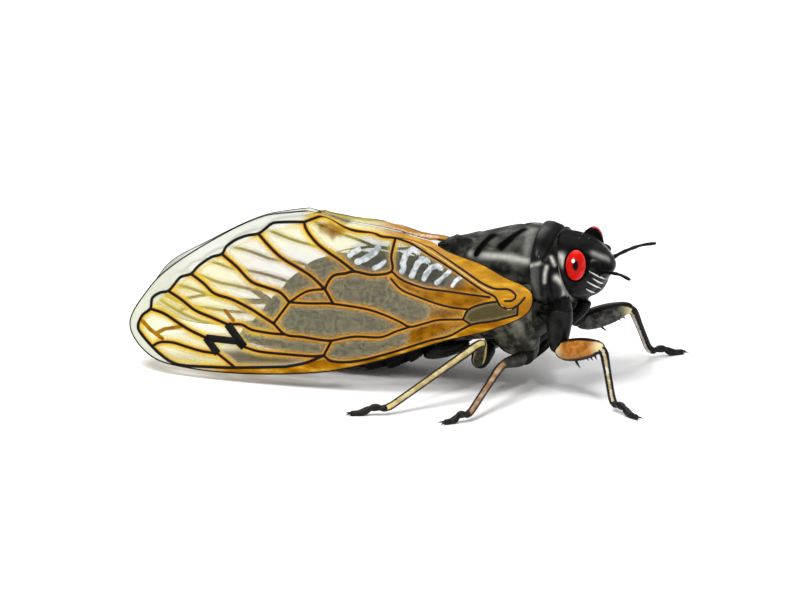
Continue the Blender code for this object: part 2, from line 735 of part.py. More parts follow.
def wing(edge, sink, veins, filling):
    """One wing: a membrane with raised veins, its two faces split into triangles alike."""
    outline = spline(edge, MESH_STEP, closed=True)
    lines = [[p for p in line if inside(p, outline, CREST_INSET)] for line in vein_lines(veins)]
    ridges = [Vector(p) for p in sorted({(round(p.x, 4), round(p.y, 4)) for line in lines for p in line})]
    feet = [p for p in vein_feet(lines) if inside(p, outline, FOOT_INSET)]
    taken = [*ridges, *feet]
    spare = [
        p for p in filling
        if inside(p, outline, FILL_INSET) and all((p - q).length > POINT_CLEAR for q in taken)
    ]
    loop = list(range(len(outline)))
    points = [*outline, *ridges, *feet, *spare]
    place = {(round(p.x, 4), round(p.y, 4)): i + len(outline) for i, p in enumerate(ridges)}
    crests = []
    for line in lines:
        keys = [place[(round(p.x, 4), round(p.y, 4))] for p in line]
        crests += [(a, b) for a, b in zip(keys, keys[1:]) if a != b]
    flat, _, faces, _, _, _ = delaunay_2d_cdt(points, crests, [loop], 1, 1e-5)
    skin = bmesh.new()
    verts = [skin.verts.new(wing_point(p.x, p.y, sink)) for p in flat]
    raised = [VEIN_HEIGHT if any(off_line(p, line) < 1e-3 for line in lines) else 0.0 for p in flat]
    for face in faces:
        skin.faces.new([verts[i] for i in face])
    skin.verts.index_update()
    skin.normal_update()
    normals = [v.normal.copy() for v in verts]
    if sum((n.dot(WING_INWARD) for n in normals), 0) > 0:
        normals = [-n for n in normals]
    shape = bmesh.new()
    outer = [shape.verts.new(v.co + n * (MEMBRANE / 2 + r)) for v, n, r in zip(verts, normals, raised)]
    within = [shape.verts.new(v.co - n * MEMBRANE / 2) for v, n in zip(verts, normals)]
    for face in faces:
        shape.faces.new([outer[i] for i in face])
        shape.faces.new([within[i] for i in reversed(face)])
    for edge_line in [e for e in skin.edges if e.is_boundary]:
        a, b = (v.index for v in edge_line.verts)
        shape.faces.new((outer[a], outer[b], within[b], within[a]))
    skin.free()
    outward(shape)
    return shape


def inside(point, outline, margin):
    """Whether a point lies inside an outline and at least a margin from it."""
    crossings = 0
    for a, b in zip(outline, [*outline[1:], outline[0]]):
        if (a.y > point.y) != (b.y > point.y):
            if point.x < a.x + (point.y - a.y) * (b.x - a.x) / (b.y - a.y):
                crossings += 1
        if (a - point).length < margin:
            return False
    return crossings % 2 == 1


def fold_points(spacing):
    """Points along the fold line, so that the fold stays crisp."""
    places = []
    for i in range(int(FOLD_RUN / spacing)):
        along = FOLD_START + i * spacing
        places.append(Vector((along, between(FOLD_LINE, along)[0])))
    return places


def grid_points(spacing):
    """Points in staggered rows over the wing's plane."""
    columns = range(int(WING_LENGTH / spacing) + 1)
    return [
        Vector((c * spacing + (r % 2) * spacing / 2, r * spacing * ROW_STEP))
        for r in GRID_ROWS for c in columns
    ]


def wings():
    """Forewings folded like a roof, with the smaller hindwings under them."""
    near_fold = fold_points(MESH_STEP)
    spread = [
        p for p in grid_points(FOREWING_GRID) if all((p - q).length > FOLD_CLEAR for q in near_fold)
    ]
    pair("forewing", wing(FOREWING_EDGE, 0.0, VEINS, near_fold + spread), "membrane")
    below = wing(HINDWING_EDGE, HINDWING_SINK, HINDWING_VEINS, grid_points(HINDWING_GRID))
    pair("hindwing", below, "membrane")


# Legs
def leg(name, sizes):
    """Coxa, femur, tibia and tarsus along one bent path, parted by thin gaps at the joints."""
    corners = [Vector((x, -y, z)) for x, y, z in sizes["corners"]]
    hip, coxa_end, knee, ankle, toe = corners
    forward = toe - ankle
    forward.z = 0
    forward.normalize()
    arch = ankle.lerp(toe, ARCH_PLACE) + Vector((0, 0, TARSUS_ARCH))
    pad = toe - forward * PAD_LENGTH
    path, middles = rounded_path([hip, coxa_end, knee, ankle, arch, pad, toe], BEND_REACH)
    at_coxa, at_knee, at_ankle = middles[:3]
    side = (knee - coxa_end).cross(ankle - knee).normalized()

    coxa = tube(path, 0, at_coxa - HALF_GAP, sizes["coxa"], COXA_STEPS, side=side,
                joints=(0, 1))
    pair(f"coxa_{name}", coxa, "shell")

    femur = [tube(path, at_coxa + HALF_GAP, at_knee - HALF_GAP, sizes["femur"], LEG_STEPS, side=side,
                  flatness=THIGH_FLATNESS, joints=(1, 1))]
    under = (ankle - knee).normalized()
    for share, length in sizes["thorn places"]:
        place, ahead = path_place(path, at_coxa + (at_knee - at_coxa) * share)
        down = (under - ahead * under.dot(ahead)).normalized()
        root = place + down * THORN_SINK
        radius = THORN_RADIUS + THORN_GROWTH * length
        femur.append(spike(root, down + ahead * THORN_LEAN, length + THORN_SINK, radius))
    pair(f"femur_{name}", fuse(femur), "leg")

    tibia = [tube(path, at_knee + HALF_GAP, at_ankle - HALF_GAP, sizes["tibia"], LEG_STEPS, side=side,
                  joints=(1, 1))]
    for share, length in sizes["spur places"]:
        place, ahead = path_place(path, at_knee + (at_ankle - at_knee) * share)
        out = (side + SPUR_OUT).normalized()
        tibia.append(spike(place, out + ahead * SPUR_LEAN, length + SPUR_SINK, SPUR_RADIUS))
    pair(f"tibia_{name}", fuse(tibia), "leg")

    total = path_length(path)
    tarsus = [tube(path, at_ankle + HALF_GAP, total, TARSUS_RADII, LEG_STEPS, side=side,
                   joints=(1, 0))]
    for turn in (-CLAW_SPLAY, CLAW_SPLAY):
        direction = Matrix.Rotation(radians(turn), 3, "Z") @ forward
        apart = forward.cross((0, 0, 1)).normalized() * copysign(CLAW_RADIUS, -turn)
        tarsus.append(spike(toe + apart - direction * CLAW_SINK, direction, CLAW_LENGTH, CLAW_RADIUS))
    foot = fuse(tarsus)
    cut(foot, (0, 0, 0), (0, 0, -1))
    pair(f"tarsus_{name}", foot, "foot")


def main():
    """Clears the scene and models the animal."""
    for thing in list(bpy.data.objects):
        bpy.data.objects.remove(thing)
    head()
    eyes()
    antennae()
    rostrum()
    pronotum()
    mesonotum()
    thorax()
    abdomen()
    opercula()
    wings()
    for name, sizes in LEGS.items():
        leg(name, sizes)


main()
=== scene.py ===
from math import copysign, cos, exp, pi, radians, sin

import bmesh
import bpy
import numpy as np
from mathutils import Matrix, Vector
from mathutils.bvhtree import BVHTree


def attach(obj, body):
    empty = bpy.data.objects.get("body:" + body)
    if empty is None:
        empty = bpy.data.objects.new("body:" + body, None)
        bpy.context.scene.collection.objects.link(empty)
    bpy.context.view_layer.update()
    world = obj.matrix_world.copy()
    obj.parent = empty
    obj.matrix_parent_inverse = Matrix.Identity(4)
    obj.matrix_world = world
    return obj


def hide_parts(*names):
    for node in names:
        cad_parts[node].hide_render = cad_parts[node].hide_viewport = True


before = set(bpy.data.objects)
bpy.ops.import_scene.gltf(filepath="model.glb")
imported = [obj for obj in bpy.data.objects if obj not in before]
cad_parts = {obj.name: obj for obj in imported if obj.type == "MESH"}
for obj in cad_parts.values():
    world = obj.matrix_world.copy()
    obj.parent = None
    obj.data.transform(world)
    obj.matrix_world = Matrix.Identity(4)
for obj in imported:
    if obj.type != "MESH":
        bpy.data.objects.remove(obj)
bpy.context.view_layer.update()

# A periodical cicada standing with folded wings. Shapes are made in millimetres, facing +X,
# with the left side at +Y, and piece() turns them into metres.
MM = 0.001
RIGHT = -1
LEFT = 1


# Camera
VIEW_AZIMUTH = radians(12.5)
VIEW_ELEVATION = radians(17.5)
VIEW_DISTANCE = 2.0
VIEW_WIDTH = 0.06667
VIEW_CENTRE = (1 / 12, 5.75)
SENSOR = 36.0

back = Vector((
    sin(VIEW_AZIMUTH) * cos(VIEW_ELEVATION), -cos(VIEW_AZIMUTH) * cos(VIEW_ELEVATION), sin(VIEW_ELEVATION)
))
rightward = Vector((cos(VIEW_AZIMUTH), sin(VIEW_AZIMUTH), 0))
upward = back.cross(rightward)
target = (rightward * VIEW_CENTRE[0] + upward * VIEW_CENTRE[1]) * MM
camera = bpy.data.objects.new("camera", bpy.data.cameras.new("camera"))
camera.data.sensor_width = SENSOR
camera.data.lens = SENSOR * VIEW_DISTANCE / VIEW_WIDTH
camera.data.clip_start = 0.01
camera.data.clip_end = 20
camera.location = target + back * VIEW_DISTANCE
camera.rotation_euler = (-back).to_track_quat("-Z", "Y").to_euler()
bpy.context.scene.collection.objects.link(camera)
bpy.context.scene.camera = camera
bpy.context.scene.view_settings.view_transform = "Standard"


# Colours and finishes
NOISE_STEP = 2.3


def tone(red, green, blue):
    """A linear colour from the values that a colour picker shows."""
    def linear(value):
        value /= 255
        return value / 12.92 if value <= 0.04045 else ((value + 0.055) / 1.055) ** 2.4
    return (linear(red), linear(green), linear(blue), 1)


class Value:
    """A socket of a finish, so that sums and products of it add Math nodes."""

    def __init__(self, finish, socket):
        self.finish = finish
        self.socket = socket

    def maths(self, operation, first, second=0.0, clamp=False):
        settings = {"operation": operation, "use_clamp": clamp}
        return self.finish.node("ShaderNodeMath", settings, {0: first, 1: second})

    def __add__(self, other):
        return self.maths("ADD", self, other)

    def __sub__(self, other):
        return self.maths("SUBTRACT", self, other)

    def __rsub__(self, other):
        return self.maths("SUBTRACT", other, self)

    def __mul__(self, other):
        return self.maths("MULTIPLY", self, other)

    def __pow__(self, other):
        return self.maths("POWER", self, other)

    def __abs__(self):
        return self.maths("ABSOLUTE", self)

    __radd__ = __add__
    __rmul__ = __mul__

    def clamped(self):
        return self.maths("ADD", self, clamp=True)

    def rise(self, low, high):
        """0 at low, 1 at high, smooth between; low may be the larger."""
        settings = {"interpolation_type": "SMOOTHSTEP"}
        values = {0: self, 1: min(low, high), 2: max(low, high)}
        rising = self.finish.node("ShaderNodeMapRange", settings, values)
        return rising if low < high else 1.0 - rising


class Finish:
    """A material with one Principled shader, and what is needed to feed its sockets."""

    def __init__(self, name, **sockets):
        self.material = bpy.data.materials.new(name)
        self.material.use_nodes = True
        self.tree = self.material.node_tree
        self.shader = self.tree.nodes["Principled BSDF"]
        place = self.node("ShaderNodeTexCoord", output="Object")
        self.place = self.vector("SCALE", place, Scale=1 / MM)
        for socket, value in sockets.items():
            self.set(socket.replace("_", " "), value)

    def node(self, kind, settings=None, values=None, output=0):
        """Adds a node with its settings and the values or links of its sockets."""
        made = self.tree.nodes.new(kind)
        for name, setting in (settings or {}).items():
            setattr(made, name, setting)
        for key, value in (values or {}).items():
            self.feed(made.inputs[key], value)
        return Value(self, made.outputs[output])

    def feed(self, socket, value):
        if isinstance(value, Value):
            self.tree.links.new(value.socket, socket)
        else:
            socket.default_value = value

    def set(self, socket, value):
        self.feed(self.shader.inputs[socket], value)

    def mix(self, share, first, second):
        """A colour between two colours."""
        values = {0: share, 6: first, 7: second}
        return self.node("ShaderNodeMix", {"data_type": "RGBA"}, values, output=2)

    def vector(self, operation, first, second=None, output=0, **values):
        values = {0: first, **({1: second} if second is not None else {}), **values}
        return self.node("ShaderNodeVectorMath", {"operation": operation}, values, output)

    def along(self, axis):
        """One coordinate of each place, in millimetres."""
        return self.node("ShaderNodeSeparateXYZ", None, {0: self.place}, output=axis)

    def noise(self, scale, detail=3.0, place=None):
        """Cloudy values from 0 to 1, scale of them to a millimetre."""
        values = {
            "Vector": place or self.place, "Scale": scale, "Lacunarity": NOISE_STEP, "Detail": detail
        }
        return self.node("ShaderNodeTexNoise", None, values)

    def cells(self, scale, disorder, feature="F1"):
        """Distances to the nearest cell's middle, or to its edge."""
        values = {"Vector": self.place, "Scale": scale, "Randomness": disorder}
        return self.node("ShaderNodeTexVoronoi", {"feature": feature}, values)

    def paint(self, name):
        """A number that the piece carries at each of its points."""
        return self.node("ShaderNodeAttribute", {"attribute_name": name}, output="Fac")

    def bump(self, height, depth):
        """Fine relief; depth is in millimetres."""
        values = {"Height": height, "Distance": depth * MM, "Strength": 1.0}
        self.set("Normal", self.node("ShaderNodeBump", None, values))


def cuticle_finish(name, dark, grey, gloss, clear=0.08, share=0.6):
    """Black shell with a grey bloom and painted highlights where the piece says pale, near-black and matte
    where it says deep (painted shade in creases), and fine pits.
    """
    finish = Finish(name, IOR=1.5, Coat_Roughness=0.06, Specular_IOR_Level=0.06)
    cloud = finish.noise(0.9, 4)
    grain = finish.noise(9.0, 3)
    pale = finish.paint("pale") * (0.55 + 0.9 * finish.noise(2.2, 4))
    bloom_and_highlight = pale.clamped()
    shade_and_black = finish.paint("deep").clamped()
    ground = finish.mix(cloud.rise(0.4, 0.7) * share, dark, grey)
    # Painted highlights: a grey bloom where the piece says pale, near-white where it is strongest
    ground = finish.mix(bloom_and_highlight, ground, tone(168, 168, 160))
    ground = finish.mix((pale - 1.0).clamped(), ground, tone(238, 238, 232))
    # Painted shade: near-black and matte where the piece says deep
    finish.set("Base Color", finish.mix(shade_and_black, ground, tone(3, 3, 3)))
    finish.set("Roughness", gloss + 0.15 * grain + 0.1 * bloom_and_highlight + 0.6 * shade_and_black)
    finish.set("Coat Weight", clear * (1.0 - bloom_and_highlight) * (1.0 - shade_and_black))
    finish.bump(0.5 * finish.cells(6.0, 1.0) + 0.5 * grain, 0.012)
    return finish


def eye_finish():
    """Bright red eye with fine facets, a paler border, a dark oval spot that looks outward, and a painted
    white highlight at the spot's upper left.
    """
    finish = Finish(
        "eye red", IOR=1.5, Roughness=0.25, Coat_Roughness=0.03, Coat_Weight=0.1,
        Specular_IOR_Level=0.04,
    )
    folded = {0: finish.along("X"), 1: 0.0 - abs(finish.along("Y")), 2: finish.along("Z")}
    offset = finish.vector("SUBTRACT", finish.node("ShaderNodeCombineXYZ", None, folded), EYE_SPOT)
    wide, high = (
        finish.vector("DOT_PRODUCT", offset, tuple(axis), output="Value") * (1 / size)
        for axis, size in zip((rightward, upward), EYE_SPOT_SIZE)
    )
    reach = (wide * wide + high * high) ** 0.5
    border = finish.paint("border")
    red = finish.mix(finish.noise(2.5, 3).rise(0.3, 0.7), tone(206, 8, 3), tone(226, 22, 8))
    red = finish.mix(reach.rise(3.2, 0.9) * 0.55, red, tone(150, 4, 3))
    red = finish.mix(border.rise(0.5, 0.75) * 0.35, red, tone(236, 60, 26))
    red = finish.mix(border.rise(0.80, 0.90), red, tone(18, 4, 3))
    red = finish.mix(reach.rise(1.15, 0.85), red, tone(8, 3, 3))
    # Painted highlight: a near-white glint at the upper left of the dark spot
    painted_glint = (wide + 0.75) ** 2.0 * 3.0 + (high - 0.85) ** 2.0 * 7.0
    finish.set("Base Color", finish.mix(painted_glint.rise(1.4, 0.7), red, tone(250, 240, 236)))
    finish.bump(finish.cells(11.0, 0.25, "DISTANCE_TO_EDGE").rise(0.0, 0.12), 0.004)
    return finish


def membrane_finish(name, tint, strength):
    """Clear wing skin: cream, yellow to orange along its veins, and see-through between them, with painted
    highlights on its gold strips and painted sheen in pale bands.
    """
    finish = Finish(name, IOR=1.4, Specular_IOR_Level=0.04)
    paint, mix, noise = finish.paint, finish.mix, finish.noise
    cloud = noise(1.1, 4)
    fine = noise(6.0, 3)
    mottled = cloud.rise(0.3, 0.7)

    # Where on the wing: the left wing, the inner part, the root and the tip
    height = finish.along("Z")
    far = finish.along("Y").rise(-0.05, 0.05)
    low = height.rise(11.2, 9.8)
    body = finish.along("X").rise(-15.0, -11.0) * low
    root = finish.along("X").rise(-11.5, -6.5) * low
    pale_end = finish.along("X").rise(-13.0, -18.5)
    tip = finish.along("X").rise(-17.5, -20.5)

    # What is painted there: borders of the veins, margin, brown, gold with painted highlights, and banded
    # cells with painted sheen
    gap = paint("vein") + 0.16 * (fine - 0.5) + 0.22 * (cloud - 0.5)
    outer = paint("margin")
    inner = 1.0 - outer
    near = (gap + far * 0.1).rise(0.30, 0.12) * inner * (1.0 - far * 0.25)
    smoke = paint("smoke").clamped()
    wide = gap.rise(0.7, 0.22) * inner * (1.0 - far * 0.5)
    wide = wide * (0.5 + 0.5 * cloud.rise(0.35, 0.65)) * (1.0 - smoke * 0.6)
    hidden = paint("vein").rise(0.12, 0.075)
    warm = paint("warm").clamped() * (paint("warm") + 1.5 * (noise(0.9, 4) - 0.5)).rise(0.0, 0.7)
    bright = paint("bright").clamped()
    # Pale bands, painted sheen on the near wing
    band = (paint("band") + 0.5 * (noise(1.6, 4) - 0.5) + 0.4 * (fine - 0.5)).rise(0.35, 0.65)
    band = band * (1.0 - far)
    streaky = noise(1.1, 4, finish.vector("MULTIPLY", finish.place, (0.4, 1.3, 1.3)))
    # Pink-brown streaks with near-white painted highlights along the left wing's top strip
    highlight_streak = streaky.rise(0.46, 0.56) * far * height.rise(9.0, 10.5) * bright

    # Colours, laid over one another
    colour = mix(mottled, tint, tone(214, 208, 92))
    colour = mix(body, colour, mix(mottled, tone(206, 203, 166), tone(210, 206, 156)))
    colour = mix(noise(4.0, 3).rise(0.38, 0.6) * body, colour, tone(160, 152, 134))
    colour = mix(outer, colour, mix(tip, tone(226, 228, 218), tone(212, 214, 194)))
    colour = mix(smoke, colour, tone(88, 79, 50))
    colour = mix(wide * 0.85, colour, mix(root, tone(228, 188, 30), tone(190, 132, 22)))
    edging = mix(root, tone(210, 142, 12), tone(194, 130, 16))
    edging = mix(far, edging, tone(166, 114, 70))
    colour = mix(near, colour, mix(pale_end * 0.8, edging, tone(206, 158, 52)))
    colour = mix(warm.rise(0.0, 0.85), colour, mix(mottled, tone(112, 70, 4), tone(162, 108, 14)))
    gold = mix(streaky.rise(0.35, 0.6), tone(132, 80, 4), tone(170, 116, 12))
    # Painted highlights on the gold: pale streaks, and a lighter gold higher up
    gold = mix(streaky.rise(0.54, 0.7) * 0.6, gold, tone(222, 176, 66))
    gold = mix(height.rise(6.0, 10.0) * 0.35, gold, tone(216, 164, 56))
    colour = mix(bright.rise(0.0, 0.7), colour, gold)
    colour = mix(paint("banded").clamped() * (1.0 - far) * 0.8, colour, tone(104, 106, 98))
    colour = mix(highlight_streak, colour, mix(fine.rise(0.4, 0.6), tone(168, 96, 62), tone(236, 214, 200)))
    # Painted sheen: pale pearly grey-blue in the bands
    pearl_sheen = mix(noise(2.4, 3).rise(0.36, 0.6), tone(150, 162, 168), tone(214, 218, 220))
    colour = mix(band, colour, pearl_sheen)
    finish.set("Base Color", mix(hidden, colour, tone(152, 110, 72)))

    cover = strength * (1.0 - 0.2 * body + 0.8 * tip) * (0.95 + 0.3 * cloud)
    cover = cover + outer * strength * (1.2 + 1.0 * tip)
    cover = cover + wide * (0.46 - 0.2 * root) + near * (0.55 + 0.15 * root)
    cover = cover + warm * 0.65 + bright * 0.8 + band * 0.6 + smoke * 0.5 + hidden
    finish.set("Alpha", cover.clamped())
    finish.set("Roughness", 0.3 + 0.16 * fine)
    finish.bump(fine + 0.6 * cloud, 0.02)
    return finish


def vein_finish(name, dark, brown, span=(-14.0, 8.0)):
    """Wing veins, black towards the wing's tip and dark brown towards its root."""
    finish = Finish(name, Specular_IOR_Level=0.15)
    grain = finish.noise(3.0, 3)
    root = (finish.along("X") + 5.0 * (grain - 0.5)).rise(*span)
    finish.set("Base Color", finish.mix(root, dark, brown))
    finish.set("Roughness", 0.5 + 0.15 * grain)
    finish.bump(finish.noise(8.0), 0.015)
    return finish


def leg_finish(name, colours, face=(0.45, 0.72), ends=0.12, inside=None):
    """A leg part with a mottled stripe on its broad faces, dark edges and pale ends.

    The colours are the stripe's two, the edges' and the ends'; inside is a grey for the side
    that faces the body.
    """
    stripe, second, edge, end = (tone(*colour) for colour in colours)
    finish = Finish(name, Specular_IOR_Level=0.12, Coat_Weight=0.06, Coat_Roughness=0.1)
    cloud = finish.noise(1.6, 4)
    grain = finish.noise(7.0, 3)
    along = finish.paint("along")
    outer = finish.paint("face")
    colour = finish.mix(cloud.rise(0.36, 0.62), stripe, second)
    root = along.rise(ends, 0.0)
    if inside:
        grey = finish.mix(cloud.rise(0.32, 0.7), tone(32, 31, 29), tone(*inside))
        colour = finish.mix(outer.rise(-0.1, 0.1), grey, colour)
        root = root * outer.rise(-0.1, 0.2)
    colour = finish.mix((root + along.rise(1 - ends, 1.0)).clamped(), colour, end)
    colour = finish.mix((abs(outer) + 0.22 * (grain - 0.5)).rise(*face), edge, colour)
    finish.set("Base Color", finish.mix(finish.paint("dark").clamped(), colour, edge))
    finish.set("Roughness", 0.34 + 0.2 * grain)
    finish.bump(grain + finish.noise(20.0), 0.01)
    return finish


# Making and placing shapes
WELD = 1e-4
FINE_WELD = 1e-5
BODY_GRID = (72, 60)
MELD_SMOOTHING = 3
STROKE_STEP = 0.4
FINE_STEP = 0.1
CORNER_SHARE = 0.45
HEAD_GRAIN = 0.085
COLLAR_GRAIN = 0.10
BACK_GRAIN = 0.09
CHEST_GRAIN = 0.11


def flowing(table, place):
    """Reads a table of rows, each beginning with its place, on smooth curves between its rows."""
    rows = np.array(sorted(table), float)
    places = rows[:, 0]
    slopes = np.gradient(rows[:, 1:], places, axis=0)
    place = min(max(place, places[0]), places[-1])
    i = min(int(np.searchsorted(places, place, side="right")) - 1, len(places) - 2)
    step = places[i + 1] - places[i]
    u = (place - places[i]) / step
    low, high = rows[i, 1:], rows[i + 1, 1:]
    return (
        low * (1 + 2 * u) * (1 - u) ** 2 + slopes[i] * step * u * (1 - u) ** 2
        + high * u * u * (3 - 2 * u) + slopes[i + 1] * step * u * u * (u - 1)
    )


def spline(points, step, closed=False):
    """Points about one step apart on a smooth curve through the given points."""
    points = [Vector(p) for p in points]
    if closed:
        padded = [points[-1], *points, points[0], points[1]]
    else:
        padded = [points[0] * 2 - points[1], *points, points[-1] * 2 - points[-2]]
    line = []
    for a, b, c, d in zip(padded, padded[1:], padded[2:], padded[3:]):
        parts = max(1, round((c - b).length / step))
        for i in range(parts):
            u = i / parts
            line.append(
                (b * 2 + (c - a) * u + (a * 2 - b * 5 + c * 4 - d) * u**2
                 + (b * 3 - a - c * 3 + d) * u**3) / 2
            )
    if not closed:
        line.append(points[-1])
    return line


def outward(shape):
    """Turns all faces of a closed shape outward."""
    bmesh.ops.recalc_face_normals(shape, faces=shape.faces)
    if shape.calc_volume(signed=True) < 0:
        bmesh.ops.reverse_faces(shape, faces=shape.faces)


def close_up(shape):
    """Fills the open ends of a shape and turns its faces outward."""
    bmesh.ops.holes_fill(shape, edges=[e for e in shape.edges if e.is_boundary])
    outward(shape)


def rolled(around, along, place_of):
    """A grid rolled up into a tube: place_of gives the place of each share round and along it."""
    shape = bmesh.new()
    bmesh.ops.create_grid(shape, x_segments=around, y_segments=along, size=1)
    for v in shape.verts:
        v.co = place_of((v.co.x + 1) / 2, (v.co.y + 1) / 2)
    bmesh.ops.remove_doubles(shape, verts=shape.verts, dist=WELD)
    close_up(shape)
    return shape


def body_point(row, x, angle):
    """One point of an upright cross-section of the body."""
    half_width, bottom, widest, top, square_above, square_below = row
    square, height = (square_above, top - widest) if angle < pi else (square_below, widest - bottom)
    across = copysign(abs(cos(angle)) ** (2 / square), cos(angle))
    rise = copysign(abs(sin(angle)) ** (2 / square), sin(angle))
    return Vector((x, half_width * across, widest + height * rise))


def lofted(stations):
    """A closed form through body stations."""
    first, last = stations[0][0], stations[-1][0]

    def place_of(round_share, share):
        x = first + (last - first) * share
        return body_point(flowing(stations, x), x, 2 * pi * round_share)
    return rolled(*BODY_GRID, place_of)


def ball(centre, radii, turn=None, around=40, levels=24):
    """An ellipsoid."""
    shape = bmesh.new()
    place = Matrix.Translation(centre) @ (turn or Matrix()) @ Matrix.Diagonal((*radii, 1))
    bmesh.ops.create_uvsphere(shape, u_segments=around, v_segments=levels, radius=1, matrix=place)
    return shape


def cut(shape, point, away):
    """Cuts a closed shape by a plane, drops the side that away points to, and caps it."""
    everything = shape.verts[:] + shape.edges[:] + shape.faces[:]
    bmesh.ops.bisect_plane(
        shape, geom=everything, dist=FINE_WELD, plane_co=point, plane_no=away, clear_outer=True
    )
    close_up(shape)


def joined(shapes):
    """Several shapes as one, not merged."""
    whole = bmesh.new()
    for shape in shapes:
        mesh = bpy.data.meshes.new("part")
        shape.to_mesh(mesh)
        shape.free()
        whole.from_mesh(mesh)
        bpy.data.meshes.remove(mesh)
    return whole


def placed(name, data):
    """A new object in the scene."""
    thing = bpy.data.objects.new(name, data)
    bpy.context.scene.collection.objects.link(thing)
    return thing


def applied(thing):
    """The shape that a helping object has with its modifiers; the object goes away."""
    shape = bmesh.new()
    shape.from_mesh(thing.evaluated_get(bpy.context.evaluated_depsgraph_get()).to_mesh())
    data = thing.data
    bpy.data.objects.remove(thing)
    (bpy.data.meshes if isinstance(data, bpy.types.Mesh) else bpy.data.curves).remove(data)
    return shape


def melded(shapes, grain):
    """One even skin over overlapping closed shapes, with the joins between them softened."""
    whole = joined(shapes)
    mesh = bpy.data.meshes.new("clay")
    whole.to_mesh(mesh)
    whole.free()
    thing = placed("clay", mesh)
    skin = thing.modifiers.new("skin", "REMESH")
    skin.mode = "VOXEL"
    skin.voxel_size = grain
    thing.modifiers.new("ease", "SMOOTH").iterations = MELD_SMOOTHING
    return applied(thing)


def mirrored(shape):
    """A copy of a shape on the other side of the body."""
    other = shape.copy()
    bmesh.ops.scale(other, verts=other.verts, vec=(1, -1, 1))
    bmesh.ops.reverse_faces(other, faces=other.faces)
    return other


def places_of(shape):
    """The points of a shape as rows of x, y and z."""
    return np.array([v.co for v in shape.verts])


def raise_by(shape, heights):
    """Moves each point of a shape along its normal."""
    shape.normal_update()
    for v, height in zip(shape.verts, heights):
        v.co += v.normal * float(height)


def from_line(places, line):
    """How far each place lies from a line of points."""
    best = np.full(len(places), np.inf)
    line = [np.array(p, float) for p in line]
    for a, b in zip(line, line[1:]):
        run = b - a
        share = np.clip(((places - a) @ run) / (run @ run), 0, 1)
        best = np.minimum(best, np.linalg.norm(places - a - share[:, None] * run, axis=1))
    return best


def stroke(places, line, width):
    """1 on a line of points and on its mirror image, falling smoothly to 0 over a width."""
    x, y, z = places.T
    folded = np.stack([x, -np.abs(y), z], axis=1)
    return np.exp(-((from_line(folded, spline(line, STROKE_STEP)) / width) ** 2))


def relief(places, strokes):
    """The sum of strokes, each a row of its amount, its width and the points of its line."""
    return sum(amount * stroke(places, line, width) for amount, width, *line in strokes)


def strongest(places, strokes):
    """The strongest of such strokes at each place."""
    return np.maximum.reduce([amount * stroke(places, line, width) for amount, width, *line in strokes])


def step_up(values, low, high):
    """0 at low, 1 at high, and a smooth rise between them, for whole rows of values."""
    share = np.clip((values - low) / (high - low), 0, 1)
    return share * share * (3 - 2 * share)


def piece(name, shape, finish, nodes=(), paints=None):
    """Turns a finished shape into a piece of the model."""
    bmesh.ops.scale(shape, verts=shape.verts, vec=(MM, MM, MM))
    mesh = bpy.data.meshes.new(name)
    shape.to_mesh(mesh)
    shape.free()
    mesh.materials.append(finish.material)
    mesh.shade_smooth()
    for paint, values in (paints or {}).items():
        layer = mesh.attributes.new(paint, "FLOAT", "POINT")
        layer.data.foreach_set("value", np.asarray(values, np.float32))
    thing = placed(name, mesh)
    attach(thing, "root")
    if nodes:
        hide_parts(*nodes)
    return thing


def pair(name, right, finish, paints=None, node=None):
    """The right and left piece of a shape given on the right side, in place of a pair of solids."""
    left = mirrored(right)
    made = []
    for side, shape in (("right", right), ("left", left)):
        stands_for = [f"{node}_{side}"] if node else []
        made.append(piece(f"{name}_{side}", shape, finish, stands_for, paints))
    return made


# Tubes along a path
def rounded_path(corners, reach, steps=6):
    """A path with its inner corners rounded, and the length along it at each corner's middle."""
    corners = [Vector(c) for c in corners]
    points = [corners[0]]
    middles = []
    for before, corner, after in zip(corners, corners[1:], corners[2:]):
        start, end = (
            corner + way.normalized() * min(reach, way.length * CORNER_SHARE)
            for way in (before - corner, after - corner)
        )
        for i in range(2 * steps + 1):
            u = i / (2 * steps)
            points.append(start * (1 - u) ** 2 + corner * 2 * u * (1 - u) + end * u**2)
            if i == steps:
                middles.append(path_length(points))
    points.append(corners[-1])
    return points, middles


def path_length(points):
    """The length of a path."""
    return sum((b - a).length for a, b in zip(points, points[1:]))


def path_place(points, distance):
    """The point at a distance along a path, and the direction there."""
    for a, b in zip(points, points[1:]):
        step = (b - a).length
        if 0 < step and distance <= step:
            return a + (b - a) * (distance / step), (b - a).normalized()
        distance -= step
    return points[-1], (points[-1] - points[-2]).normalized()


def swept(points, start, end, radii, side=(0, 0, 1), around=20, along=48, flatness=1.0, caps=0.5):
    """A rounded tube along a path: radii are rows of share along it and radius.

    Returns the shape, and for each point the share along and the direction away from the path.
    """
    side = Vector(side)
    length = end - start
    whole = path_length(points)
    spots = {}

    def rounded(place):
        return tuple(round(c, 3) for c in place)

    def place_of(round_share, share):
        share = (1 - cos(pi * share)) / 4 + share / 2
        centre, ahead = path_place(points, min(max(start + length * share, 0), whole))
        wide = (side - ahead * side.dot(ahead)).normalized()
        deep = ahead.cross(wide)
        radius = float(flowing(radii, share)[0])
        from_end = min(share, 1 - share) * length
        if from_end < radius * caps:
            radius *= max(1 - (1 - from_end / (radius * caps)) ** 2, 0.0) ** 0.5
        angle = 2 * pi * round_share
        out = wide * (flatness * cos(angle)) + deep * sin(angle)
        place = centre + out * radius
        spots[rounded(place)] = (share, out.normalized())
        return place
    shape = rolled(around, along, place_of)
    keys = [rounded(v.co) for v in shape.verts]
    for i, key in enumerate(keys):
        if key not in spots:
            keys[i] = min(spots, key=lambda k: (Vector(k) - Vector(key)).length_squared)
    return shape, [spots[key] for key in keys]


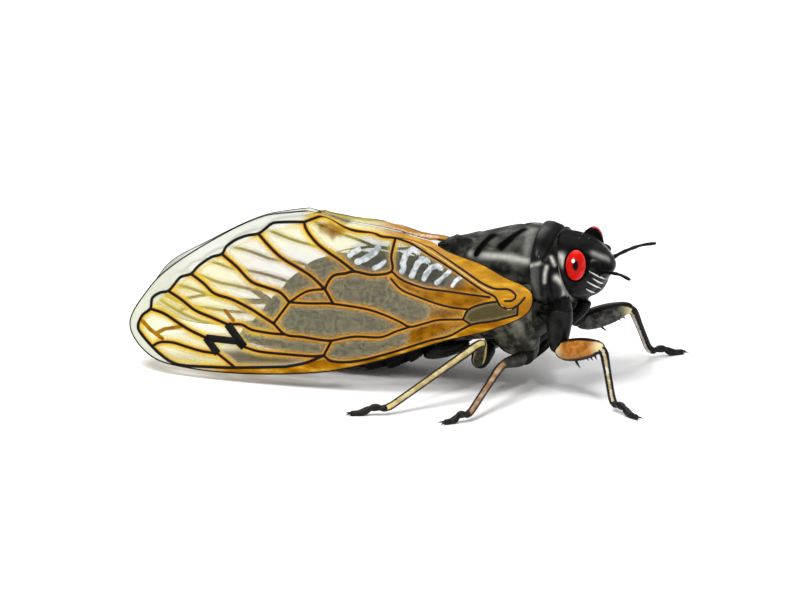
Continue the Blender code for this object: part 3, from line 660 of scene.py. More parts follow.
# Sizes of the body: stations along it, each with its half width, bottom, widest level and top,
# and how square it is above and below that level
HEAD_STATIONS = (
    (13.75, 3.40, 7.75, 10.6, 12.88, 2.1, 2.1),
    (14.8, 3.50, 7.50, 10.6, 12.80, 2.1, 2.1),
    (15.8, 3.25, 7.45, 10.6, 12.55, 2.1, 2.1),
    (16.7, 2.70, 7.90, 10.5, 12.20, 2.0, 2.0),
    (17.3, 2.20, 8.55, 10.4, 11.80, 2.0, 2.0),
    (17.9, 1.55, 9.25, 10.3, 11.25, 2.0, 2.0),
    (18.25, 0.90, 9.75, 10.25, 10.80, 2.0, 2.0),
    (18.42, 0.35, 10.05, 10.25, 10.48, 2.0, 2.0),
)
PRONOTUM_STATIONS = (
    (12.10, 4.25, 7.00, 10.5, 13.35, 2.2, 2.4),
    (12.45, 4.50, 6.95, 10.5, 13.42, 2.2, 2.4),
    (13.20, 4.40, 6.90, 10.3, 13.25, 2.2, 2.6),
    (14.00, 4.05, 6.95, 10.2, 13.05, 2.2, 2.6),
    (15.40, 3.70, 7.20, 10.1, 12.90, 2.2, 2.4),
)
MESONOTUM_STATIONS = (
    (12.15, 4.20, 8.2, 9.6, 13.15, 2.2, 2.0),
    (11.80, 4.30, 8.2, 9.6, 13.25, 2.2, 2.0),
    (10.30, 4.20, 8.2, 9.6, 13.15, 2.2, 2.0),
    (8.60, 3.80, 8.2, 9.6, 12.80, 2.1, 2.0),
    (7.20, 3.00, 8.4, 9.6, 12.45, 2.0, 2.0),
    (5.90, 1.95, 8.7, 9.7, 12.10, 2.0, 2.0),
    (4.70, 0.95, 9.2, 10.0, 11.80, 2.0, 2.0),
    (3.90, 0.45, 9.8, 10.4, 11.55, 2.0, 2.0),
    (3.30, 0.22, 10.2, 10.6, 11.25, 2.0, 2.0),
)
THORAX_STATIONS = (
    (12.10, 4.05, 4.3, 8.0, 12.0, 2.1, 2.6),
    (11.80, 4.20, 4.1, 8.0, 12.0, 2.1, 2.6),
    (10.30, 4.45, 3.9, 7.6, 12.0, 2.1, 2.6),
    (8.60, 4.35, 3.7, 7.2, 12.0, 2.1, 2.6),
    (6.90, 3.90, 3.4, 6.8, 11.8, 2.1, 2.4),
    (5.20, 3.50, 3.0, 6.4, 11.6, 2.0, 2.4),
    (3.40, 3.30, 2.6, 6.1, 11.0, 2.0, 2.4),
    (2.90, 3.15, 2.6, 6.0, 10.6, 2.0, 2.4),
)
ABDOMEN_STATIONS = (
    (3.3, 3.08, 2.20, 5.6, 9.80, 2.0, 2.8),
    (1.0, 3.28, 0.85, 5.1, 10.05, 1.95, 3.2),
    (-1.5, 3.42, 0.34, 4.8, 10.25, 1.95, 4.0),
    (-4.0, 3.32, 0.34, 4.6, 10.05, 1.95, 4.0),
    (-6.5, 3.00, 0.55, 4.5, 9.45, 2.0, 3.0),
    (-8.7, 2.50, 0.80, 4.1, 7.90, 2.0, 2.6),
    (-10.7, 1.90, 1.10, 3.5, 5.70, 2.0, 2.3),
    (-12.4, 1.10, 1.40, 2.6, 3.50, 2.0, 2.0),
    (-13.4, 0.45, 1.70, 2.1, 2.50, 2.0, 2.0),
    (-13.6, 0.05, 2.05, 2.1, 2.15, 2.0, 2.0),
)
EYE_CENTRE = (15.8, 3.35, 11.18)
EYE_RADII = (0.84, 1.30, 1.28)
EYE_LEAN = 13.0
EYE_RIM = 0.15
EYE_SPOT = (15.98, -4.55, 11.52)
EYE_SPOT_SIZE = (0.24, 0.44)

black = cuticle_finish("black shell", tone(10, 10, 10), tone(40, 41, 39), 0.2)
chest_grey = cuticle_finish("grey black chest", tone(38, 38, 32), tone(116, 115, 102), 0.36, 0.05, 0.95)
back_grey = cuticle_finish("grey black back", tone(24, 24, 22), tone(82, 83, 76), 0.32, 0.05, 0.9)
ringed = cuticle_finish("black rings", tone(4, 4, 4), tone(18, 18, 16), 0.4, clear=0.02)
red = eye_finish()
# Cream of the face's ridges: a painted highlight along each ridge
cream = Finish("cream lines", Base_Color=tone(226, 226, 218), Roughness=0.5)
straw = Finish("straw lines", Base_Color=tone(214, 192, 136), Roughness=0.5)
simple_eye = Finish("small dark eyes", Base_Color=tone(40, 8, 6), Roughness=0.2)


# Head and what it carries
def eye_frame(side):
    """The place and lean of one eye."""
    centre = Vector((EYE_CENTRE[0], side * EYE_CENTRE[1], EYE_CENTRE[2]))
    turn = Matrix.Rotation(radians(side * EYE_LEAN), 4, "X")
    return centre, turn, turn @ Vector((0, side, 0))


FACE_BULGES = (((15.95, 0, 9.6), (1.95, 1.75, 2.1)), ((15.6, 0, 8.15), (1.0, 1.45, 1.0)))
LEDGE = ((16.75, 2.15, 10.95), (0.85, 0.85, 0.45))
EYE_MOUNT_DEPTH = 0.1
EYE_MOUNT_CUT = 0.15
HEAD_MIDDLE = (15.5, 0, 10.0)
FACE_LINES = (
    ((16.70, -2.70, 10.52), (17.29, -2.14, 10.01), (17.75, -1.14, 9.43)),
    ((16.95, -2.40, 9.84), (17.25, -1.75, 9.40), (17.51, -0.84, 8.97)),
    ((16.51, -2.66, 9.64), (16.93, -2.07, 9.17), (17.32, -0.75, 8.49)),
    ((16.4, -2.36, 8.92), (16.85, -0.93, 8.17)),
)
FACE_LINE_LIFT = 0.02
FACE_LINE_RADII = ((0, 0.015), (0.2, 0.05), (0.7, 0.064), (1, 0.015))
FACE_FURROW = (-0.04, 0.12, (17.9, -0.01, 10.6), (17.9, -0.01, 9.0), (16.9, -0.01, 7.9))
# Strokes on the head, each an amount, a width and a line: relief, painted shade in creases and painted
# highlights as pale streaks
HEAD_RELIEF = (
    *((0.04, 0.15, *line) for line in FACE_LINES),
    (-0.06, 0.12, (16.2, -2.9, 10.5), (16.9, -2.95, 10.75), (17.5, -2.3, 10.7), (18.1, -1.2, 10.4)),
    (-0.05, 0.10, (14.4, -0.01, 12.8), (16.0, -0.01, 12.5), (17.6, -0.01, 11.5)),
)
HEAD_SHADE = ((0.9, 0.42, (16.9, -3.1, 11.3), (17.4, -2.5, 10.9), (18.2, -0.9, 10.3)),)
HEAD_HIGHLIGHTS = (
    (1.3, 0.3, (14.35, -3.0, 12.0), (14.55, -3.15, 11.6), (14.75, -3.3, 11.2)),
    (0.6, 0.3, (16.9, -1.6, 11.75), (17.4, -1.3, 11.45), (17.9, -0.8, 11.1)),
)
# Where the face, the black crown and the rims of the eyes begin and are full
FACE_AHEAD = (16.3, 17.0)
FACE_BELOW = (10.6, 10.2)
CROWN_ABOVE = (11.7, 12.3)
CROWN_BLACK = 0.85
RIM_ROUND = (1.32, 1.18)
RIM_OUTSIDE = (1.9, 2.2)


def head():
    """Cranium with bulging ridged face, ledges over the antennae and the mounts of the eyes."""
    parts = [lofted(HEAD_STATIONS), *(ball(*bulge) for bulge in FACE_BULGES)]
    for side in (RIGHT, LEFT):
        (x, y, z), radii = LEDGE
        parts.append(ball((x, side * y, z), radii))
        centre, turn, out = eye_frame(side)
        wider = (EYE_RADII[0] + EYE_RIM, EYE_RADII[1], EYE_RADII[2] + EYE_RIM)
        mount = ball(centre - out * EYE_MOUNT_DEPTH, wider, turn)
        cut(mount, centre - out * EYE_MOUNT_CUT, out)
        parts.append(mount)
    shape = melded(parts, HEAD_GRAIN)
    places = places_of(shape)
    x, y, z = places.T
    face = step_up(x, *FACE_AHEAD) * step_up(z, *FACE_BELOW)
    crown = CROWN_BLACK * step_up(z, *CROWN_ABOVE)
    from_eye = np.hypot((x - EYE_CENTRE[0]) / EYE_RADII[0], (z - EYE_CENTRE[2]) / EYE_RADII[2])
    ring = step_up(from_eye, *RIM_ROUND) * step_up(abs(y), *RIM_OUTSIDE)
    # deep: painted shade in a band in front of each eye, a near-black matte crown and a black ring round
    # each eye
    deep = np.maximum.reduce([strongest(places, HEAD_SHADE), crown, ring])
    # pale: painted highlights as pale streaks
    pale = strongest(places, HEAD_HIGHLIGHTS) * (1 - ring)
    raise_by(shape, relief(places, HEAD_RELIEF) + relief(places, [FACE_FURROW]) * face)
    face_lines(BVHTree.FromBMesh(shape))
    return piece("skull", shape, black, ["head"], {"pale": pale, "deep": deep})


def face_lines(skull):
    """Raised ridges laid on both sides of the face, cream as a painted highlight along each ridge."""
    cords = []
    middle = Vector(HEAD_MIDDLE)
    for line in FACE_LINES:
        path = []
        for p in spline(line, FINE_STEP):
            out = (p - middle).normalized()
            hit = skull.ray_cast(p + out, -out)[0]
            path.append((hit or p) + out * FACE_LINE_LIFT)
        cords.append(swept(path, 0, path_length(path), FACE_LINE_RADII, around=10, along=30)[0])
    pair("face_lines", joined(cords), cream)


def eyes():
    """Domed eyes in their rims."""
    centre, turn, out = eye_frame(RIGHT)
    shape = ball(centre, EYE_RADII, turn, around=64, levels=48)
    depth = (places_of(shape) - np.array(centre)) @ np.array(out) / EYE_RADII[1]
    return pair("eye_dome", shape, red, {"border": 1 - np.clip(depth, 0, 1)}, "eye")


OCELLI = ((16.15, 0, 12.47), (15.45, 0.55, 12.62), (15.45, -0.55, 12.62))
OCELLUS_RADII = (0.10, 0.10, 0.06)


def ocelli():
    """Three small simple eyes on the crown."""
    beads = [ball(place, OCELLUS_RADII, around=16, levels=10) for place in OCELLI]
    return piece("ocelli", joined(beads), simple_eye)


ANTENNA_STEP = 0.2
ANTENNA_PATH = ((17.35, -1.8, 10.05), (17.8, -2.3, 10.3), (18.6, -3.1, 10.62), (19.7, -4.2, 10.85),
                (20.75, -5.2, 10.8))
ANTENNA_RADII = ((0, 0.28), (0.08, 0.26), (0.12, 0.18), (0.17, 0.2), (0.2, 0.165), (0.4, 0.16),
                 (0.43, 0.145), (0.6, 0.15), (0.63, 0.13), (0.8, 0.135), (0.92, 0.15), (1.0, 0.11))
ROSTRUM_STEP = 0.3
ROSTRUM_PATH = ((15.85, 0, 7.2), (15.6, 0, 6.4), (14.9, 0, 5.6), (12.8, 0, 3.3), (10.9, 0, 1.3))
ROSTRUM_RADII = ((0, 0.62), (0.1, 0.58), (0.2, 0.50), (0.3, 0.46), (0.33, 0.40), (0.36, 0.44),
                 (0.6, 0.36), (0.64, 0.30), (0.67, 0.34), (0.9, 0.26), (1.0, 0.2))


def antennae():
    """Bristle-like feelers with two thick joints at their root."""
    path = spline(ANTENNA_PATH, ANTENNA_STEP)
    shape, _ = swept(path, 0, path_length(path), ANTENNA_RADII, around=12, along=64)
    return pair("feeler", shape, black, None, "antenna")


def rostrum():
    """The beak in its joints, held back under the body."""
    path = spline(ROSTRUM_PATH, ROSTRUM_STEP)
    shape, _ = swept(
        path, 0, path_length(path), ROSTRUM_RADII, (0, 1, 0), around=24, along=60, flatness=0.9
    )
    return piece("beak", shape, black, ["rostrum"])


# Thorax
COLLAR_GROOVE = ((13.75, -0.05, 13.14), (13.72, -1.4, 13.02), (13.61, -2.73, 12.55),
                 (13.29, -3.72, 11.93), (13.07, -4.21, 11.36), (13.02, -4.37, 9.9), (13.01, -4.1, 8.43))
LOBE_GROOVE = ((13.9, -3.75, 11.2), (13.75, -4.1, 10.5), (13.72, -4.25, 9.76), (13.85, -4.2, 8.91),
               (14.25, -3.83, 8.0))
COLLAR_RELIEF = (
    (-0.13, 0.13, *COLLAR_GROOVE), (-0.11, 0.14, *LOBE_GROOVE),
    (0.06, 0.2, (12.3, -0.05, 13.4), (12.25, -2.5, 12.9), (12.15, -4.2, 11.2), (12.2, -4.3, 9.0)),
)
# Painted shade: near-black in the collar's grooves and a broad band behind the front one
COLLAR_SHADE = (
    (0.8, 0.16, *COLLAR_GROOVE), (0.8, 0.16, *LOBE_GROOVE),
    (0.9, 0.5, (13.4, -0.05, 13.2), (13.2, -1.6, 13.0), (12.95, -3.0, 12.5)),
)
# Painted highlights: pale streaks on the collar
COLLAR_HIGHLIGHTS = (
    (1.3, 0.16, (12.2, -4.2, 11.12), (12.65, -4.3, 11.32), (12.97, -4.23, 11.40)),
    (1.3, 0.15, (13.45, -4.17, 11.1), (13.33, -4.29, 10.5), (13.3, -4.31, 9.84)),
    (1.3, 0.14, (13.72, -3.6, 11.79), (14.04, -3.83, 11.22)),
    (1.25, 0.24, (14.25, -4.01, 10.16), (14.52, -3.91, 9.88), (14.68, -3.6, 9.27), (14.75, -3.53, 8.75)),
    (0.22, 0.4, (12.5, -4.3, 11.0), (12.5, -4.4, 9.6), (12.6, -4.1, 8.3)),
)
LOBE = ((14.0, 3.45, 9.2), (0.8, 0.85, 1.45))
COLLAR_FRONT = Vector((13.9, 0, 13.0))
COLLAR_LEAN = Vector((1, 0, 0.25)).normalized()
COLLAR_INSET = 0.05


def plate(name, shape, finish, node, heights, deep, pale):
    """A plate of the thorax as a piece, with its furrows and ridges, painted shade in its creases and
    painted highlights as pale streaks.
    """
    places = places_of(shape)
    raise_by(shape, relief(places, heights))
    paints = {"pale": strongest(places, pale), "deep": strongest(places, deep)}
    return piece(name, shape, finish, [node], paints)


def on_both_sides(centre, radii):
    """A ball on each side of the body."""
    x, y, z = centre
    return [ball((x, side * y, z), radii) for side in (RIGHT, LEFT)]


def pronotum():
    """The collar: a raised rear band, slanting furrows and a rounded lobe low on each side."""
    shape = melded([lofted(PRONOTUM_STATIONS), *on_both_sides(*LOBE)], COLLAR_GRAIN)
    cut(shape, COLLAR_FRONT - COLLAR_LEAN * COLLAR_INSET, COLLAR_LEAN)
    return plate("collar", shape, black, "pronotum", COLLAR_RELIEF, COLLAR_SHADE, COLLAR_HIGHLIGHTS)


WING_ROOT = Vector((12.67, -4.80, 8.98))
WING_ALONG = Vector((-0.9885, 0.0290, -0.1482))
WING_UP = Vector((-0.1191, 0.4537, 0.8831))
WING_INWARD = Vector((0.0929, 0.8907, -0.4451))
WING_BULGE = Vector((0.2064, -0.9311, 0.3007))
FLANK_INSET = 0.55
CHEST_SPREAD = 0.17


def cut_flanks(shape, spread):
    """Cuts both flanks clear of the folded wings."""
    normal = (WING_ALONG + WING_INWARD * spread).normalized().cross(WING_UP).normalized()
    if normal.dot(WING_INWARD) > 0:
        normal = -normal
    point = WING_ROOT + WING_INWARD * FLANK_INSET
    cut(shape, point, normal)
    cut(shape, Vector((point.x, -point.y, point.z)), Vector((normal.x, -normal.y, normal.z)))


NOTCH_FRONT = ((9.2, -2.3, 12.0), (9.6, -2.1, 12.35), (10.15, -1.8, 12.8), (10.75, -0.9, 13.08))
NOTCH_REAR = ((7.1, -2.4, 11.3), (7.4, -2.05, 11.8), (7.75, -1.7, 12.15), (8.2, -1.2, 12.5))
BACK_BAND = ((6.4, -2.15, 11.2), (7.46, -2.47, 11.16), (9.2, -2.65, 11.26), (10.35, -2.79, 11.2),
             (11.6, -3.0, 11.1))
BACK_RELIEF = (
    (-0.10, 0.20, *NOTCH_FRONT), (-0.10, 0.20, *NOTCH_REAR),
    (0.18, 0.22, (6.6, -1.25, 12.0), (5.6, -0.5, 12.15), (4.9, -0.05, 12.0)),
    (0.18, 0.22, (4.0, -0.35, 11.4), (4.5, -0.2, 11.8), (4.9, -0.05, 12.0)),
    (-0.10, 0.22, (5.6, -1.35, 11.6), (4.8, -0.6, 11.7), (4.3, -0.55, 11.3)),
    (-0.07, 0.13, (11.9, -2.9, 12.0), (9.0, -2.45, 11.9), (6.9, -1.75, 11.9)),
    (0.06, 0.3, *BACK_BAND),
)
# Painted shade: near-black in the notches and low along the flanks under the wings
BACK_SHADE = (
    (1.6, 0.36, *NOTCH_FRONT), (1.6, 0.38, *NOTCH_REAR),
    (0.7, 0.45, (8.6, -3.3, 10.2), (10.5, -3.5, 10.2), (11.6, -3.6, 10.3)),
)
# Painted highlights: a pale band along the side, and pale streaks
BACK_HIGHLIGHTS = (
    (1.05, 0.30, *BACK_BAND),
    (0.40, 0.4, (11.4, -2.9, 11.7), (11.5, -2.0, 12.7), (11.5, -0.9, 13.15)),
    (0.16, 0.5, (9.4, -2.2, 12.2), (10.3, -2.16, 12.4), (11.0, -2.1, 12.6)),
)
BACK_BASE = 9.45


def mesonotum():
    """The back between the wing roots, drawn out behind into a raised cross."""
    shape = lofted(MESONOTUM_STATIONS)
    cut(shape, (0, 0, BACK_BASE), (0, 0, -1))
    cut_flanks(shape, 0.0)
    shape = melded([shape], BACK_GRAIN)
    return plate("back_shield", shape, back_grey, "mesonotum", BACK_RELIEF, BACK_SHADE, BACK_HIGHLIGHTS)


CHEST_SEAMS = (
    ((9.3, -4.4, 8.0), (9.6, -4.3, 6.2), (10.2, -3.4, 4.5)),
    ((7.2, -4.0, 7.4), (7.4, -3.9, 5.6), (7.9, -3.1, 4.0)),
    ((5.3, -3.6, 6.8), (5.4, -3.4, 5.0), (5.8, -2.7, 3.4)),
    ((11.5, -4.0, 8.2), (11.6, -3.9, 6.6), (11.7, -3.6, 5.0)),
)
CHEST_RELIEF = (
    *((-0.14, 0.16, *seam) for seam in CHEST_SEAMS),
    (0.10, 0.5, (10.5, -4.25, 6.9), (10.9, -4.1, 5.9), (11.2, -3.5, 5.0)),
)
# Painted shade: near-black in the seams of the chest
CHEST_SHADE = tuple((0.8, 0.18, *seam) for seam in CHEST_SEAMS)
# Painted highlights: pale streaks on the chest
CHEST_HIGHLIGHTS = (
    (0.35, 0.4, (10.5, -4.3, 6.8), (10.9, -4.2, 6.2), (11.3, -3.7, 5.6)),
    (0.5, 0.16, (9.9, -4.1, 5.9), (10.3, -3.5, 5.0)),
    (0.45, 0.2, (8.7, -4.35, 5.9), (9.2, -4.2, 5.4)),
)
CHEST_TOP = 9.75
CHEST_FRONT = ((11.9, 0, 5.3), (1.35, 3.9, 1.25))
CHEST_LOBE = ((10.7, 2.7, 4.3), (1.9, 1.25, 1.5))


def thorax():
    """The deep chest in its side plates, which carries the wings and the rear pairs of legs."""
    shape = lofted(THORAX_STATIONS)
    cut(shape, (0, 0, CHEST_TOP), (0, 0, 1))
    cut_flanks(shape, CHEST_SPREAD)
    shape = melded([shape, ball(*CHEST_FRONT), *on_both_sides(*CHEST_LOBE)], CHEST_GRAIN)
    return plate("chest", shape, chest_grey, "thorax", CHEST_RELIEF, CHEST_SHADE, CHEST_HIGHLIGHTS)


# Abdomen
ABDOMEN_GRID = (112, 230)
ABDOMEN_FRONT = 3.1
RING_LENGTH = 16.5 / 9
RING_DIP = 0.045
RING_SWELL = 1.5
CREASE_SHADE = 0.6
CREASE_WIDTH = 0.3
LIP_START = 0.75
LIP_END = 0.93
FOLD_LEVEL = 3.1
FOLD_REACH = 0.35
FOLD_DIP = 0.03


def ring_share(x):
    """How far along its ring of the abdomen a place lies, from 0 to 1."""
    ring = (ABDOMEN_FRONT - x) / RING_LENGTH
    return ring - np.floor(ring)


def abdomen():
    """Overlapping rings with raised rear edges, painted shade in the dip at the front of each, and a fold
    where back and belly plates meet.
    """
    first, last = ABDOMEN_STATIONS[0][0], ABDOMEN_STATIONS[-1][0]

    def place_of(round_share, share):
        x = first + (last - first) * share
        row = flowing(ABDOMEN_STATIONS, x)
        angle = 2 * pi * round_share
        part = ring_share(x)
        lip = 1 - RING_DIP + RING_DIP * min(part / LIP_START, 1.0) ** RING_SWELL
        if part > LIP_END:
            lip = 1.0 - RING_DIP * (part - LIP_END) / (1 - LIP_END)
        point = body_point(row, x, angle)
        middle = Vector((x, 0, row[2]))
        low = exp(-((point.z - FOLD_LEVEL) / FOLD_REACH) ** 2) if angle > pi else 0.0
        return middle + (point - middle) * (lip - FOLD_DIP * low)
    shape = rolled(*ABDOMEN_GRID, place_of)
    # Painted shade: near-black in the dip at the front of each ring
    crease_shade = CREASE_SHADE * step_up(ring_share(places_of(shape)[:, 0]), CREASE_WIDTH, 0.0)
    return piece("hind_body", shape, ringed, ["abdomen"], {"deep": crease_shade})


DRUM_COVER = ((4.45, -1.75, 2.55), (2.05, 1.35, 0.62))
DRUM_COVER_TURN = (-20, -16)


def opercula():
    """The two plates under the base of the abdomen."""
    pitch, roll = (radians(angle) for angle in DRUM_COVER_TURN)
    turn = Matrix.Rotation(pitch, 4, "Y") @ Matrix.Rotation(roll, 4, "X")
    shape = ball(*DRUM_COVER, turn, around=48, levels=24)
    return pair("drum_cover", shape, black, None, "operculum")


# Wings
BULGE_HEIGHT = 0.8
BULGE_WIDTH = 8
WING_LENGTH = 35.2
# Dents of the wing: place along it, reach, depth and foot
TUCKS = ((9.6, 3.4, 1.15, -1.0), (29.0, 5.0, 1.05, 1.0))
TUCK_RISE = 5.5
FLAP_START = 3.5
FLAP_RUN = 6.0
MIDLINE_CLEAR = 0.2
FOREWING_EDGE = (
    (0.25, -0.3), (0.9, -1.8), (4.1, -2.9), (7.9, -3.5), (11.8, -4.4), (14.9, -5.0), (19.0, -5.4),
    (24.9, -5.1), (29.9, -4.3), (33.4, -3.0), (35.2, -0.2), (33.6, 2.6), (31.3, 4.6), (27.1, 6.8),
    (23.5, 8.1), (21.0, 8.3), (18.4, 8.3), (16.0, 8.1), (13.5, 7.6), (11.5, 7.2), (9.9, 6.6),
    (8.4, 5.1), (6.4, 3.75), (4.5, 2.7), (2.6, 1.5), (0.9, 0.6),
)
FOLD_LINE = (
    (0.0, -0.6), (1.4, -0.3), (3.3, 0.5), (5.0, 1.4), (6.8, 2.8), (8.9, 4.4), (11.8, 5.5),
    (14.0, 6.1), (16.3, 6.7), (18.6, 7.9), (21.0, 9.0), (40.0, 9.0),
)
FOLD_PLACES, FOLD_HEIGHTS = zip(*FOLD_LINE)
HINDWING_EDGE = (
    (5.3, -0.2), (6.6, -1.7), (10.0, -2.6), (14.0, -3.3), (18.0, -3.3), (21.0, -2.4), (22.4, -0.6),
    (21.6, 1.6), (19.0, 3.3), (16.0, 3.8), (12.5, 2.8), (9.5, 1.7), (7.0, 0.8),
)
HINDWING_SINK = 1.0
SKIN_THICKNESS = 0.07
VEIN_SQUASH = 0.6
VEIN_LIFT = 0.05
VEIN_ROOT = 0.02
VEIN_TOP = 0.11
ROOT_THINNING = 0.18
THIN_UP_TO = 8
THIN_FADE = 10
SKIN_GRID = (250, 76)
HINDWING_GRID = (130, 40)
EVEN_SPREAD = 0.55
EDGE_STEP = 0.3
RIM = 0.055
HINDWING_RIM = 0.05
GLINT = 0.045
GLINT_SINK = -0.02
# Places where veins meet, along and across the wing
MEET = {
    "J0": (19.9, 7.4), "J1": (23.9, 6.7), "J2": (27.1, 5.2), "J3": (29.8, 3.7), "J4": (31.8, 2.4),
    "J5": (33.4, 1.0), "J6": (33.3, -2.2), "J7": (26.1, -4.5), "J8": (18.4, -4.0), "K1": (18.2, 1.6),
    "K2": (21.3, 0.7), "K3": (22.7, -1.0), "A": (27.6, -3.2), "B": (28.6, -1.8), "C": (25.8, -2.3),
    "D": (26.7, -0.8), "E": (25.3, -2.8), "L0": (15.6, 2.9), "L1": (12.4, 2.7), "T1": (12.0, 5.5),
    "T": (18.5, 7.8), "M1": (17.5, 0.3), "M2": (10.9, -2.1), "N0": (6.3, -1.8), "N1": (5.6, -2.3),
    "P": (17.7, -2.8), "Q": (21.7, -2.0),
}
# Each vein runs from place to place; the first number is its thickness
VEINS = (
    (0.125, "J0", (21.3, 7.5), (22.6, 7.5), (23.1, 7.2), "J1", (24.9, 6.6), (25.9, 6.3), (26.7, 5.8),
     "J2", (28.0, 5.0), (28.9, 4.5), (29.4, 4.1), "J3", (30.7, 3.5), (31.2, 3.0), "J4", (32.5, 2.3),
     (33.2, 1.9), "J5", (34.1, 0.5), (34.5, -0.4), (34.2, -1.1), "J6", (32.6, -2.9), (31.7, -3.6),
     (30.6, -4.0), (28.2, -4.3), "J7", (22.3, -4.7), (21.5, -4.7), (19.9, -4.5), "J8"),
    (0.12, "J0", (19.7, 6.7), (18.9, 5.6), (18.0, 4.8), (16.8, 3.9), "L0"),
    (0.12, "J1", (23.0, 5.6), (21.9, 4.5), (20.4, 3.5), (19.3, 2.7), "K1"),
    (0.12, "J2", (25.8, 4.0), (24.6, 2.7), (23.3, 2.1), (22.1, 1.6), "K2"),
    (0.12, "J3", (28.7, 2.8), (27.8, 1.9), (26.3, 1.3), (24.7, 0.4), (23.7, -0.3), "K3"),
    (0.12, "J4", (30.7, 1.6), (29.5, 0.6), (28.1, -0.1), "D"),
    (0.12, "J5", (32.2, 0.5), (30.8, -0.5), (29.9, -1.1), "B"),
    (0.11, "J6", (32.6, -1.9), (31.5, -2.0), (30.4, -2.4), (29.0, -2.9), "A"),
    (0.11, "A", (26.9, -3.8), "J7"),
    (0.31, "A", "B"), (0.30, "B", "C"), (0.33, "C", "E"), (0.33, "E", "D"),
    (0.12, "K1", (17.9, 2.2), (17.4, 2.7), (16.4, 2.8), "L0", (14.0, 2.5), "L1", (12.4, 3.9),
     (12.2, 4.8), "T1"),
    (0.11, "T", (17.8, 7.7), (16.3, 6.7), (15.3, 6.3), (14.0, 6.1), (13.2, 5.7), "T1"),
    (0.12, "J0", "T"),
    (0.12, "K1", "M1"), (0.10, "K1", (19.8, 1.5), "K2"),
    (0.10, "K2", (19.8, 0.5), (18.4, 0.4), "M1", (14.8, -0.3), (13.2, -0.9), (11.8, -1.6), "M2",
     (9.6, -1.9), (8.4, -1.7), "N0"),
    (0.10, "M2", (12.1, -2.4), (13.5, -2.8), (15.7, -2.6), "P"),
    (0.11, "K2", "K3"), (0.11, "K3", "Q", (20.3, -2.3), (18.5, -2.7), "P"), (0.11, "P", "J8"),
    (0.11, "D", (25.5, -0.9), (24.6, -1.4), (23.0, -1.8), "Q"),
    (0.11, "E", (23.9, -3.3), (21.5, -3.7), (19.4, -4.0), "J8"),
    (0.11, "J8", (17.8, -4.5), (16.5, -4.7), (14.9, -4.6), (13.2, -4.3), (11.8, -4.0), (9.3, -3.4),
     (7.5, -3.1), "N1", (3.6, -2.1), (1.6, -1.75)),
    (0.10, "L1", (11.5, 1.9), (9.7, 1.1), (7.8, 0.7), (5.9, 0.3), (3.9, -0.1)),
    (0.10, (12.5, 2.1), (11.6, 1.1), (10.2, 0.4), (8.3, -0.4), (6.9, -0.8), (5.9, -0.95)),
    (0.10, "T1", (10.8, 5.0), (9.9, 4.42), (9.05, 3.81), (8.2, 3.25), (7.33, 2.63), (6.47, 1.98),
     (5.6, 1.3), (4.5, 0.5), (3.5, -0.1), (3.1, -0.8), (2.3, -1.2), (1.5, -0.9), (0.9, -0.3)),
    (0.10, "T1", (11.3, 5.5), (10.5, 5.35), (9.0, 4.5), (8.17, 3.88), (7.32, 3.23), (6.46, 2.57),
     (5.6, 1.9), (4.6, 1.15), (3.5, 0.6), (2.3, 0.45), (1.7, -0.1), (2.0, -0.5), (2.7, -0.5)),
    (0.11, "N0", (5.8, -1.0), (4.5, -0.6), (3.3, -0.5)),
    (0.10, "N0", "N1"), (0.12, (1.55, -1.0), (1.6, -1.75)),
)
HINDWING_VEINS = (
    (0.07, (6.0, -0.5), (10.0, -1.6), (15.0, -2.2), (20.0, -1.7), (21.6, -1.2)),
    (0.07, (6.0, -0.5), (11.0, -0.4), (16.0, -0.2), (21.8, 0.2)),
    (0.07, (6.0, -0.5), (11.0, 0.8), (15.5, 1.6), (20.4, 1.9), (21.0, 1.9)),
    (0.07, (6.0, -0.5), (10.0, 1.2), (13.5, 2.3), (17.0, 3.4)),
)
COSTAL_LINE = ((0.0, -0.9), (1.6, -1.75), (5.6, -2.3), (7.5, -3.1), (9.3, -3.4), (11.8, -4.0),
               (13.2, -4.3), (14.9, -4.6), (16.5, -4.7), (18.4, -4.35), (19.9, -4.5), (22.3, -4.7),
               (26.1, -4.5), (28.2, -4.3))
GLINT_LINES = (
    ((3.6, 0.35), (4.6, 0.85), (5.6, 1.6), (6.47, 2.28), (7.33, 2.93), (8.19, 3.57), (9.2, 4.28),
     (10.5, 5.15)),
    ((1.5, -0.88), (2.3, -1.25), (3.0, -0.83)),
)
CLAVAL_LINE = ((0.0, 0.1), (2.3, 0.45), (3.5, 0.6), (5.6, 1.9), (7.3, 3.2), (9.0, 4.5), (10.5, 5.35),
               (12.0, 5.5), (13.2, 5.7), (14.0, 6.1), (15.3, 6.3), (16.3, 6.7), (17.8, 7.7),
               (18.5, 7.8), (19.9, 7.4))
APICAL_AREA = tuple(MEET[n] for n in ("J0", "J1", "J2", "J3", "J4", "J5")) + (
    (34.3, 0.2), (34.5, -0.4), (34.2, -1.1), MEET["J6"], (31.7, -3.6), (28.2, -4.3), MEET["J7"],
    (19.0, -4.3), (10.0, 2.0))
